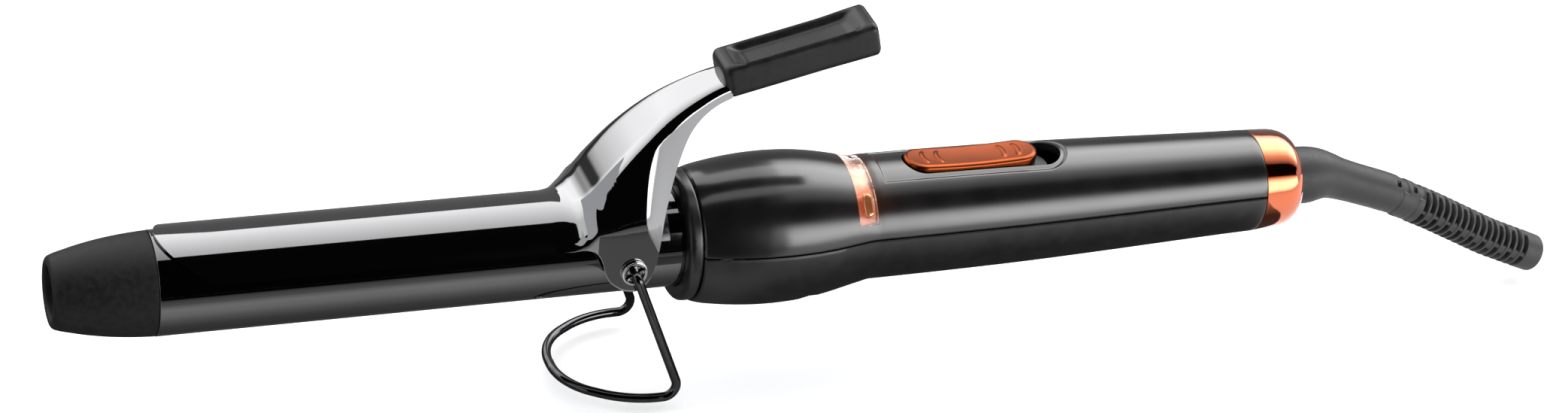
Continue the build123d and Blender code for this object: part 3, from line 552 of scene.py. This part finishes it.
def clamp_half(x):
    """Half of the clamp's cross-section: an arc on the barrel that turns into the lever."""
    if x <= NOSE_X:
        share = (NOSE_X - x) / NOSE_LENGTH
        half = SPOON_R * sin(EDGE_ANGLE) * sqrt(max(1 - share * share, 1e-4))
        reach = asin(half / SPOON_R)
    else:
        reach = EDGE_ANGLE
    arc = [(SPOON_R * sin(reach * k / 48), SPOON_R * cos(reach * k / 48)) for k in range(49)]
    if x <= LEVER_X:
        return resample(arc, ACROSS)
    lever = resample(lever_half(x), ACROSS)
    arc = resample(arc, ACROSS)
    w = smoothstep(LEVER_X, LEVER_SET_X, x)
    return [(a[0] * (1 - w) + b[0] * w, a[1] * (1 - w) + b[1] * w) for a, b in zip(arc, lever)]


clamp_xs = [NOSE_X - NOSE_LENGTH * cos(radians(a)) for a in spaced(1.5, 90, 1.5)]
clamp_xs += spaced(NOSE_X, 117.0, 1.5)[1:] + spaced(117.0, 128.0, 0.3)[1:] + spaced(128.0, 144.0,
                                                                                    0.2)[1:]
clamp_xs += spaced(144.0, LEVER_END_X, 0.4)[1:]
rings = []
for x in clamp_xs:
    half = clamp_half(x)
    ring = [(x, -y, z) for y, z in reversed(half[1:])] + [(x, y, z) for y, z in half]
    rings.append(ring)
clamp = make("clamp_pressing", *skin(rings, around=False, ends=False), slots["clamp_chrome"], 50)
up_face = max(clamp.data.polygons, key=lambda f: f.center.z)
if up_face.normal.z < 0:
    clamp.data.flip_normals()
thick = clamp.modifiers.new("sheet", "SOLIDIFY")
thick.thickness, thick.offset, thick.use_even_offset = SHEET * MM, -1, True
edge_round = clamp.modifiers.new("rim", "BEVEL")
edge_round.width, edge_round.segments, edge_round.limit_method = 0.16 * MM, 2, "ANGLE"
edge_round.angle_limit = radians(60)
settle(clamp, 50)
place(clamp, "clamp", "clamp_chrome", "clamp_spoon")

# ---------------------------------------------------------------- thumb rest

REST_LENGTH, REST_HALF, REST_HEIGHT = 39.0, 6.0, 8.6
REST_START = (159.2, 43.7)
REST_SLOPE = radians(13.6)


def rest_ring(along):
    """Cross-section (y, z) of the thumb rest at a distance along it."""
    ring = []
    half_w = REST_HALF + 0.25 * smoothstep(24, 37, along)
    low = -REST_HEIGHT / 2
    high = REST_HEIGHT / 2 + 0.3 * smoothstep(26, 37, along)
    corner = 1.9
    centres = [(half_w - corner, high - corner, 0), (-half_w + corner, high - corner, 90),
               (-half_w + corner, low + corner, 180), (half_w - corner, low + corner, 270)]
    outline = []
    for cy, cz, start in centres:
        outline += [(cy + corner * cos(radians(start + a)), cz + corner * sin(radians(start + a)))
                    for a in range(0, 91, 15)]
    dense = []
    for i, a in enumerate(outline):
        b = outline[(i + 1) % len(outline)]
        n = (26, 10, 14, 10)[i // 7] if i % 7 == 6 else 1
        dense += [(a[0] + (b[0] - a[0]) * k / n, a[1] + (b[1] - a[1]) * k / n) for k in range(n)]
    for y, z in dense:
        if z > high - 1.6:
            inside = smoothstep(half_w - 0.9, half_w - 2.9, abs(y)) * smoothstep(3.0, 7.0, along)
            inside *= smoothstep(REST_LENGTH - 2.6, REST_LENGTH - 7.0, along)
            z -= 1.9 * inside
        ring.append((y, z))
    return ring


def rest_point(along, y, z):
    """Point of the thumb rest, tilted to the lever's slope."""
    c, s = cos(REST_SLOPE), sin(REST_SLOPE)
    return (REST_START[0] + along * c - z * s, y, REST_START[1] + along * s + z * c)


rings = []
stations = [(1.9 * (1 - cos(radians(a))), 1.9 * (1 - sin(radians(a)))) for a in range(0, 91, 10)]
stations += [(s, 0.0) for s in spaced(1.9, REST_LENGTH - 1.4, 0.5)[1:]]
stations += [(REST_LENGTH - 1.4 + 1.4 * sin(radians(a)), 1.4 * (1 - cos(radians(a))))
             for a in range(10, 91, 10)]
for along, grow in stations:
    ring = rest_ring(along)
    centre_z = 0.4
    shrink_y = (REST_HALF - grow) / REST_HALF
    shrink_z = (REST_HEIGHT / 2 - grow) / (REST_HEIGHT / 2)
    rings.append([rest_point(along, y * shrink_y, centre_z + (z - centre_z) * shrink_z)
                  for y, z in ring])
place(make("thumb_rest_grip", *skin(rings), slots["rest_plastic"], 40), "clamp", "rest_plastic",
      "thumb_rest")

# ---------------------------------------------------------------- stand and pivots

PIVOT_X = 137.0
HEEL_X = PIVOT_X + 13.4
NOSE_TOE_X = HEEL_X - 27.7
stand_half = [(PIVOT_X, 13.6, 0), (PIVOT_X, 17.8, 0), (HEEL_X, 19.3, -34),
              (HEEL_X - 13.2, 19.2, -34), (NOSE_TOE_X, 9.1, -34)]
stand_points = stand_half + [(x, -y, z) for x, y, z in reversed(stand_half)]
stand_radii = [1.6, 3.2, 24.0, 16.0]
stand_path = filleted(stand_points, stand_radii + stand_radii[::-1], 0.4)
place(make("stand_loop", *sweep(stand_path, 1.15), slots["stand_chrome"]), "stand",
      "stand_chrome", "stand_wire")

# Screw heads: a lathe about Y with a cross recess round the wire's hole.
head = [(12.9, 2.2, 0), (15.1, 2.2, 0), (15.1, 3.2, 0.6), (16.1, 3.2, 1), (16.1, 2.45, 0.6),
        (15.5, 1.9, 0.3), (15.5, 1.22, 0), (12.9, 1.22, 0)]
for name, side in (("pivot_screw_near", -1), ("pivot_screw_far", 1)):
    points, faces = lathe(rounded(head, 0.45), 96)
    points = [(PIVOT_X + y, side * x, z) for x, y, z in points]
    screw = make(name, points, faces, slots["screw_chrome"])
    bars = []
    for turn in (30, 120):
        c, s = cos(radians(turn)), sin(radians(turn))
        bar = ((-2.7, -0.5), (2.7, -0.5), (2.7, 0.5), (-2.7, 0.5))
        corners = [(u * c - v * s, u * s + v * c) for u, v in bar]
        bars.append(skin([[(PIVOT_X + u, side * y, v) for u, v in corners] for y in (15.0, 17.0)]))
    cut(screw, bars)
    place(screw, "iron", "screw_chrome", "pivot_screws")

# ---------------------------------------------------------------- handle shells

FRONT_X, REAR_X, NECK_X = 154.4, 304.4, 199.4
SEAM_Z, SEAM_GAP, WALL = 2.4, 0.3, 2.0
DROP = 0.35
bulb_radius = smooth_table([
    (FRONT_X, 16.25), (157.0, 16.98), (160.0, 17.5), (163.5, 18.0), (167.0, 18.37),
    (171.0, 18.64), (175.0, 18.73), (179.0, 18.62), (183.0, 18.33), (186.5, 17.87),
    (190.0, 17.25), (193.0, 16.6), (196.0, 15.95), (198.0, 15.58), (NECK_X, 15.42),
])
grip_radius = smooth_table([
    (NECK_X, 15.42), (206.0, 15.40), (216.0, 15.33), (226.0, 15.22), (236.0, 15.07),
    (246.0, 14.84), (257.0, 14.5), (267.0, 14.15), (277.0, 13.77), (288.0, 13.36), (298.0, 13.02),
    (REAR_X, 12.85),
])
# Recess round the switch: from X, to X, half-width, depth.
LANDING = (202.2, 252.4, 7.2, 0.45)


def skin_at(x):
    """Radius and how far the axis is dropped at x on the handle."""
    drop = DROP * (1 - smoothstep(NECK_X - 2.0, NECK_X + 1.0, x))
    return (bulb_radius(x) if x < NECK_X else grip_radius(x)), drop


def landing_depth(x, y):
    """How far the recess round the switch sinks the skin at a point in plan."""
    x0, x1, half, depth = LANDING
    if x < x0 - 1 or x > x1 + 1:
        return 0.0
    cx = min(x, x1 - half)
    outside = hypot(x - cx, y) - half
    if x < x1 - half:
        outside = abs(y) - half
    side = 1 - smoothstep(-0.65, 0.1, outside)
    front = smoothstep(x0 - 0.1, x0 + 0.5, x)
    return depth * side * front


def shell_rings(upper):
    """Outer rings of one shell from seam to seam."""
    xs = [FRONT_X, FRONT_X + 0.12, FRONT_X + 0.35] + spaced(FRONT_X + 0.8, 201.0, 0.9)
    xs += spaced(201.0, 204.0, 0.2)[1:] + spaced(204.0, 243.0, 0.8)[1:]
    xs += spaced(243.0, 254.0, 0.25)[1:]
    xs += spaced(254.0, REAR_X - 0.5, 1.4)[1:] + [REAR_X - 0.2, REAR_X]
    across = 220 if upper else 150
    out = []
    for x in xs:
        r, drop = skin_at(x)
        r -= 0.3 * (1 - smoothstep(FRONT_X, FRONT_X + 0.5, x)) ** 2
        r -= 0.12 * smoothstep(REAR_X - 0.4, REAR_X, x)
        seam = SEAM_Z if upper else SEAM_Z - SEAM_GAP
        edge = acos((seam + drop) / r)
        lo, hi = (-edge, edge) if upper else (edge, 2 * pi - edge)
        ring = []
        for k in range(across + 1):
            a = lo + (hi - lo) * k / across
            from_seam = min(a - lo, hi - a) * r
            rr = r - 0.22 * max(0.0, 1 - from_seam / 0.35) ** 2
            if upper:
                rr -= landing_depth(x, r * sin(a))
            ring.append((x, rr * sin(a), rr * cos(a) - drop))
        out.append(ring)
    return out


def arc_cutter(x0, x1, half_angle, inner, outer, count=40):
    """Closed arc block over the top of the handle between two radii."""
    rings = []
    for x in (x0, x1):
        arc = [radians(-half_angle + 2 * half_angle * k / count) for k in range(count + 1)]
        ring = [(x, outer * sin(a), outer * cos(a)) for a in arc]
        ring += [(x, inner * sin(a), inner * cos(a)) for a in reversed(arc)]
        rings.append(ring)
    return skin(rings)


# Opening for the window: from X, to X, half-angle in degrees.
WINDOW = (193.8, 199.1, 66.0)
SLOT_X = (209.2, 250.9)
WELLS = ((184.0, 10.5), (184.0, -10.5), (270.0, 0.0))
WELL_R, WELL_MOUTH_R = 3.6, 2.82
SCREW_HOLE_R = 1.4
SHELLS = (("handle_top_moulding", True, "handle_gloss"),
          ("handle_base_moulding", False, "handle_matte"))
for name, upper, slot in SHELLS:
    shell = make(name, *skin(shell_rings(upper), around=False, ends=False), slots[slot], 40)
    probe = max(shell.data.polygons, key=lambda f: f.center.z if upper else -f.center.z)
    if (probe.normal.z < 0) == upper:
        shell.data.flip_normals()
    wall = shell.modifiers.new("wall", "SOLIDIFY")
    wall.thickness, wall.offset = WALL * MM, -1
    settle(shell, 40)
    if upper:
        cuts = [arc_cutter(*WINDOW, 9.0, 25.0),
                skin([stadium_ring(*SLOT_X, 5.3, z) for z in (9.0, 20.0)])]
        cut(shell, cuts, 30)
        place(shell, "iron", slot, "handle_upper_shell")
    else:
        cuts = [skin([[(u, v, z) for u, v in circle(x, y, 2.8)] for z in (-24.0, -9.0)])
                for x, y in WELLS]
        cut(shell, cuts, 30)
        place(shell, "iron", slot, "handle_lower_shell")
        for i, (x, y) in enumerate(WELLS):
            rings = []
            for z, r in ((-19.0, WELL_R), (-19.0, WELL_MOUTH_R), (-4.0, WELL_MOUTH_R),
                         (-4.0, SCREW_HOLE_R), (-3.0, SCREW_HOLE_R), (-3.0, WELL_R)):
                ring = []
                for u, v in circle(x, y, r):
                    radius, drop = skin_at(u)
                    ring.append((u, v, max(z, 1.0 - drop - sqrt(radius ** 2 - v * v))))
                rings.append(ring)
            rings.append(rings[0])
            place(make(f"screw_well_{i}", *skin(rings, ends=False), slots[slot]), "iron", slot)

# ---------------------------------------------------------------- window and light pipe

def strip_rings(x0, x1, half_angle, inner, outer, step=0.45, ripple=None):
    """Closed curved strip under the handle's skin, as rings across it."""
    rings = []
    for k in range(97):
        a = radians(-half_angle + 2 * half_angle * k / 96)
        xs = spaced(x0, x1, step)
        outside, inside = [], []
        for x in xs:
            r, drop = skin_at(x)
            lift = ripple(x, a) if ripple else 0.0
            outside.append((x, (r - outer) * sin(a), (r - outer) * cos(a) - drop))
            inside.append((x, (r - inner + lift) * sin(a), (r - inner + lift) * cos(a) - drop))
        rings.append(outside + inside[::-1])
    return rings


def foil_ripple(x, a):
    """How far the foil behind the window lifts, in long waves."""
    return 0.22 * sin(5 * a + 1.3 * x) + 0.12 * sin(11 * a - 0.8 * x)


window = make("window_strip", *skin(strip_rings(193.85, 199.05, 65.6, 1.3, 0.06)),
              slots["window_clear"], 40)
place(window, "iron", "window_clear", "indicator_window")
foil = make("window_foil", *skin(strip_rings(193.0, 199.9, 68.0, 2.75, 2.1, ripple=foil_ripple)),
            slots["copper_foil"], 50)
place(foil, "iron", "copper_foil", "window_reflector")

PIPE_ANGLE, PIPE_X = radians(48.0), 196.6
rings = []
dome = [(15.55 + 0.75 * sin(radians(a)), cos(radians(a)) ** 0.7) for a in range(10, 90, 8)]
for height, share in [(11.8, 0.99), (15.55, 1.0)] + dome:
    ring = []
    for k in range(48):
        a = 2 * pi * (k + 0.5) / 48
        u = 1.2 * share * cos(a)
        v = (1.75 if sin(a) > 0 else -1.75) * min(1.0, share + 0.25) + 1.2 * share * sin(a)
        c, s = cos(PIPE_ANGLE), sin(PIPE_ANGLE)
        ring.append((PIPE_X + u, v * c - height * s, v * s + height * c))
    rings.append(ring)
place(make("light_pipe_dome", *skin(rings), slots["pipe_clear"], 40), "iron", "pipe_clear",
      "light_pipe")

# ---------------------------------------------------------------- switch button

BUTTON_X0, BUTTON_X1, BUTTON_HALF = 209.7, 244.4, 4.9
BUTTON_TOP = 15.9


def button_height(x, y):
    """Height of the button's top: a long dish with crescent grip ridges near its ends."""
    middle = (BUTTON_X0 + BUTTON_X1) / 2
    z = BUTTON_TOP - 0.75 * (1 - ((x - middle) / 17.3) ** 2) - 0.12 * (1 - (y / BUTTON_HALF) ** 2)
    for ridge_x, bow in ((BUTTON_X0 + 4.8, 1), (BUTTON_X0 + 8.6, 1), (BUTTON_X1 - 8.6, -1),
                         (BUTTON_X1 - 4.8, -1)):
        off = x - ridge_x - bow * 0.11 * y * y
        z += 0.34 * exp(-(off / 0.34) ** 2) * (1 - smoothstep(1.8, 2.7, abs(y)))
    return z


def plan_grid():
    """Top of the button as rows across it, so that the ridges come out crisp."""
    rows = []
    for x in spaced(BUTTON_X0 + 0.02, BUTTON_X1 - 0.02, 0.16):
        reach = BUTTON_HALF
        if x < BUTTON_X0 + BUTTON_HALF:
            reach = sqrt(max(BUTTON_HALF ** 2 - (BUTTON_X0 + BUTTON_HALF - x) ** 2, 1e-4))
        if x > BUTTON_X1 - BUTTON_HALF:
            reach = sqrt(max(BUTTON_HALF ** 2 - (x - BUTTON_X1 + BUTTON_HALF) ** 2, 1e-4))
        row = []
        for k in range(41):
            share = sin(radians(-90 + 180 * k / 40))
            y = reach * share
            middle_x = min(max(x, BUTTON_X0 + BUTTON_HALF), BUTTON_X1 - BUTTON_HALF)
            inset = min(BUTTON_HALF - hypot(x - middle_x, y), 1.1)
            fall = 0.95 * (1 - sqrt(max(0.0, 1 - (1 - inset / 1.1) ** 2)))
            row.append((x, y, button_height(x, y) - fall))
        low = [(px, py, 10.9) for px, py, _ in reversed(row)]
        rows.append(row + low)
    return rows


place(make("button_cap", *skin(plan_grid()), button_copper, 45), "switch", "copper_chrome",
      "switch_button")

# ---------------------------------------------------------------- end ring and strain relief

ring_profile = [(304.55, 11.7), (304.5, 12.6), (304.62, 12.78), (304.9, 12.8), (306.5, 12.76),
                (309.0, 12.66), (311.0, 12.52), (312.3, 12.28), (313.5, 11.86), (314.5, 11.3),
                (315.3, 10.6), (315.9, 9.8), (316.25, 9.0), (316.4, 8.3), (316.38, 7.95),
                (316.2, 7.8), (314.4, 7.8), (314.4, 10.0), (311.8, 11.65)]
place(make("end_ring_cap", *lathe(ring_profile, 192), slots["copper_chrome"]), "iron",
      "copper_chrome", "end_ring")

RELIEF_X = 312.0
relief_points = [(RELIEF_X, 0, 0), (325, 0, 0), (345, 0, -7.4), (360, 0, -14.8), (378, 0, -24.5),
                 (392.9, 0, -31.2)]
relief_path = filleted(relief_points, [18, 60, 90, 70], 0.2)
lengths = [0.0]
for a, b in zip(relief_path, relief_path[1:]):
    lengths.append(lengths[-1] + (b - a).length)
RELIEF_LENGTH = lengths[-1]
boot_radius = smooth_table([
    (0.0, 9.2), (1.9, 9.2), (2.05, 7.35), (6.0, 7.35), (9.0, 7.25), (12.0, 6.75), (15.5, 5.9),
    (19.0, 5.4), (24.0, 5.2), (34.0, 5.12), (60.0, 5.08), (RELIEF_LENGTH - 0.5, 4.95),
    (RELIEF_LENGTH, 4.7),
])
SLOT_PITCH, SLOT_HALF, FLOOR_R = 2.26, 0.56, 3.75
LAST_INDEX = 16
CORD_BORE_R, AROUND = 3.6, 120
LAST_SLOT = RELIEF_LENGTH - 6.3
# Slots as (from, to) in degrees from the near side, positive upwards. Each is mirrored
# to the far side.
RING_A = ((8, 72), (-66, -5))
RING_B = ((11, 86), (-86, -20))


def in_slot(angle, spans):
    """How far into a slot an angle is, 0 to 1, with rounded ends."""
    a = degrees(atan2(sin(angle), cos(angle)))
    if abs(a) > 90:
        a = 180 - a if a > 0 else -180 - a
    return max(smoothstep(lo - 3, lo + 3, a) * (1 - smoothstep(hi - 3, hi + 3, a))
               for lo, hi in spans)


def relief_radius(run, angle):
    """Outside radius at a length along the path, sunk where a slot or a groove is."""
    r = boot_radius(run)
    place_in = (LAST_SLOT - run) / SLOT_PITCH
    index = round(place_in)
    if 0 <= index <= LAST_INDEX:
        off = abs(place_in - index) * SLOT_PITCH
        deep = 1 - smoothstep(SLOT_HALF - 0.14, SLOT_HALF + 0.14, off)
        spans = RING_A if index % 2 == 0 else RING_B
        r -= (r - FLOOR_R) * deep * in_slot(angle, spans)
        r -= 0.22 * (1 - smoothstep(0.5, 0.9, off))
    for back, spans in ((47.0, ((52, 70), (-80, -64))), (52.5, ((50, 68), (-80, -62)))):
        off = abs(run - (RELIEF_LENGTH - back))
        r -= 1.1 * (1 - smoothstep(0.55, 0.8, off)) * in_slot(angle, spans)
        off = abs(run - (RELIEF_LENGTH - back) - 2.6)
        r -= 0.45 * (1 - smoothstep(0.7, 1.0, off)) * in_slot(angle, ((40, 96), (-96, -50)))
        off = abs(run - (RELIEF_LENGTH - back) - 1.2)
        r -= 0.16 * (1 - smoothstep(0.3, 0.7, off))
    return r


def boot():
    """Slotted outside and plain bore of the strain relief, as one closed skin."""
    outer, _ = tube_along(relief_path, relief_radius, AROUND, ends=False)
    inner, _ = tube_along(relief_path, lambda run, angle: CORD_BORE_R, AROUND, ends=False)
    count = len(relief_path)
    rings = [outer[i * AROUND:(i + 1) * AROUND] for i in range(count)]
    rings += [inner[i * AROUND:(i + 1) * AROUND] for i in reversed(range(count))]
    rings.append(rings[0])
    return skin(rings, ends=False)


place(make("cord_boot", *boot(), slots["relief_rubber"], 40), "cord_swivel", "relief_rubber",
      "strain_relief")

# ---------------------------------------------------------------- studio

FLOOR_Z, FLOOR_REACH = -37.9, 6000
paper = surface("floor_paper", (0.86, 0.86, 0.86), (0.9, 0.9, 0.9), (0.7, 0.8), grain=3,
                Specular_IOR_Level=0.0, Emission_Color=(1, 1, 1, 1), Emission_Strength=0.3)
floor_corners = [(x * FLOOR_REACH, y * FLOOR_REACH, FLOOR_Z)
                 for x, y in ((-1, -1), (1, -1), (1, 1), (-1, 1))]
floor = make("studio_floor", floor_corners, [(0, 1, 2, 3)], paper)


def glow_material(name, strengths, axis):
    """Emission that follows (position, radiance) stops along one axis of the piece's own box."""
    material = bpy.data.materials.new(name)
    material.use_nodes = True
    nodes, links = material.node_tree.nodes, material.node_tree.links
    nodes.clear()
    out = nodes.new("ShaderNodeOutputMaterial")
    glow = nodes.new("ShaderNodeEmission")
    where = nodes.new("ShaderNodeTexCoord")
    parts = nodes.new("ShaderNodeSeparateXYZ")
    curve = nodes.new("ShaderNodeValToRGB")
    links.new(where.outputs["Generated"], parts.inputs["Vector"])
    links.new(parts.outputs[axis], curve.inputs["Fac"])
    stops = curve.color_ramp.elements
    peak = max(radiance for _, radiance in strengths)
    for i, (position, radiance) in enumerate(strengths):
        stop = stops[i] if i < 2 else stops.new(position)
        stop.position = position
        stop.color = (radiance / peak,) * 3 + (1,)
    scale = nodes.new("ShaderNodeMath")
    scale.operation = "MULTIPLY"
    scale.inputs[1].default_value = peak
    links.new(curve.outputs["Color"], scale.inputs[0])
    links.new(scale.outputs["Value"], glow.inputs["Strength"])
    links.new(glow.outputs["Emission"], out.inputs["Surface"])
    return material


def card(name, corners, strengths, axis="Y", mirror_only=True):
    """Studio card with its own radiance; most of them only show in reflections."""
    panel = make(name, corners, [tuple(range(len(corners)))], glow_material(name, strengths, axis))
    panel.visible_camera = panel.visible_shadow = False
    if mirror_only:
        panel.visible_diffuse = panel.visible_transmission = False
    return panel


def level(x0, y0, x1, y1, z):
    """Corners of a level card."""
    return [(x0, y0, z), (x1, y0, z), (x1, y1, z), (x0, y1, z)]


def upright(x0, x1, y, z0, z1):
    """Corners of a card that stands across the Y axis."""
    return [(x0, y, z0), (x1, y, z0), (x1, y, z1), (x0, y, z1)]


def flat(points, z):
    """Corners of a level card of any outline."""
    return [(x, y, z) for x, y in points]


BLACK = [(0.0, 0.004), (1.0, 0.004)]
DARK_GREY = [(0.0, 0.24), (1.0, 0.24)]
LEFT, RIGHT, FRONT, BACK, CEILING = -1200, 2600, -900, 1400, 800
# Cards hang this far under the ceiling, and the handle's own softbox a little lower.
UNDER, LOWEST = CEILING - 6, CEILING - 8
CARD_FLOOR = FLOOR_Z + 0.9
CARD_FOOT = -37
# Where the mirrored lines of the barrel end and those of the handle begin.
SPLIT, BACK_SPLIT = 465, 150
handle_edge = [(455, -400), (423, 0), (470, 400), (530, 775), (700, BACK), (RIGHT, BACK),
               (RIGHT, -400)]
card("softbox_top", level(LEFT, -300, RIGHT, BACK, CEILING),
     [(0.0, 1.15), (0.15, 1.57), (0.30, 2.09), (0.5, 2.69), (1.0, 3.2)], mirror_only=False)
card("softbox_handle", flat(handle_edge, LOWEST),
     [(0.0, 0.1), (0.17, 1.6), (0.25, 4.2), (0.33, 6.4), (0.57, 6.8), (0.80, 3.2), (1.0, 1.0)])
card("grey_ceiling", level(250, 775, RIGHT, BACK, UNDER), DARK_GREY)
card("softbox_front", upright(SPLIT, RIGHT, FRONT, -35, 620),
     [(0.0, 3.0), (0.12, 6.0), (0.35, 8.0), (0.6, 6.5), (0.85, 1.5), (1.0, 0.1)], "Z")
card("flag_ceiling", level(LEFT, FRONT, RIGHT, -150, UNDER), BLACK)
card("flag_front", upright(LEFT, RIGHT, FRONT - 10, CARD_FOOT, CEILING + 6), BLACK, "Z")
card("flag_floor", flat([(LEFT, -280), (245, -280), (457, FRONT), (LEFT, FRONT)], CARD_FLOOR),
     BLACK)
# Glossy-only stand-ins for the floor near the object: the radiance of floor_by_barrel and
# floor_by_handle falls off towards the object as painted shadow under it, as the mirrored parts
# see it.
card("floor_by_barrel", flat([(LEFT, -280), (245, -280), (150, 62), (LEFT, 62)], CARD_FLOOR),
     [(0.0, 0.13), (0.48, 0.39), (0.617, 0.89), (0.687, 0.75), (0.731, 0.45), (0.77, 0.22),
      (0.816, 0.1), (1.0, 0.1)])
card("floor_by_handle", flat([(201, -150), (356, -150), (312, 62), (150, 62)], CARD_FLOOR),
     [(0.0, 1.3), (0.24, 0.9), (0.42, 0.4), (0.57, 0.08), (1.0, 0.02)])
card("floor_by_ears", flat([(160, -140), (195, -140), (172, -60), (146, -60)], CARD_FLOOR + 0.3),
     [(0.0, 0.12), (1.0, 0.22)])
card("white_back", upright(LEFT, BACK_SPLIT, BACK, CARD_FOOT, CEILING),
     [(0.0, 0.05), (0.3, 0.1), (0.42, 1.6), (0.7, 2.8), (1.0, 3.2)], "Z")
card("grey_back", upright(BACK_SPLIT, RIGHT, BACK, CARD_FOOT, CEILING), DARK_GREY, "Z")
card("grey_floor_back", level(LEFT, 62, RIGHT, BACK, CARD_FLOOR), DARK_GREY)

world = bpy.data.worlds.new("studio_world")
bpy.context.scene.world = world
world.use_nodes = True
world.node_tree.nodes["Background"].inputs["Color"].default_value = (0.96, 0.97, 1.0, 1)
world.node_tree.nodes["Background"].inputs["Strength"].default_value = 1.0

camera_data = bpy.data.cameras.new("studio_camera")
camera = bpy.data.objects.new("studio_camera", camera_data)
bpy.context.scene.collection.objects.link(camera)
VIEW = Vector((0.3227, 0.7964, -0.5115)).normalized()
UP = Vector((0.0873, 0.5131, 0.8539))
right = VIEW.cross(UP).normalized()
UP = right.cross(VIEW).normalized()
rotation = Matrix((right, UP, -VIEW)).transposed()
camera.matrix_world = Matrix.Translation(Vector((-146.2, -803.7, 521.1)) * MM) @ rotation.to_4x4()
camera_data.sensor_width = 36.0
camera_data.lens = 95.1
camera_data.clip_start, camera_data.clip_end = 0.01, 50.0
camera_data.dof.use_dof = False
bpy.context.scene.camera = camera
bpy.context.scene.view_settings.view_transform = "Standard"
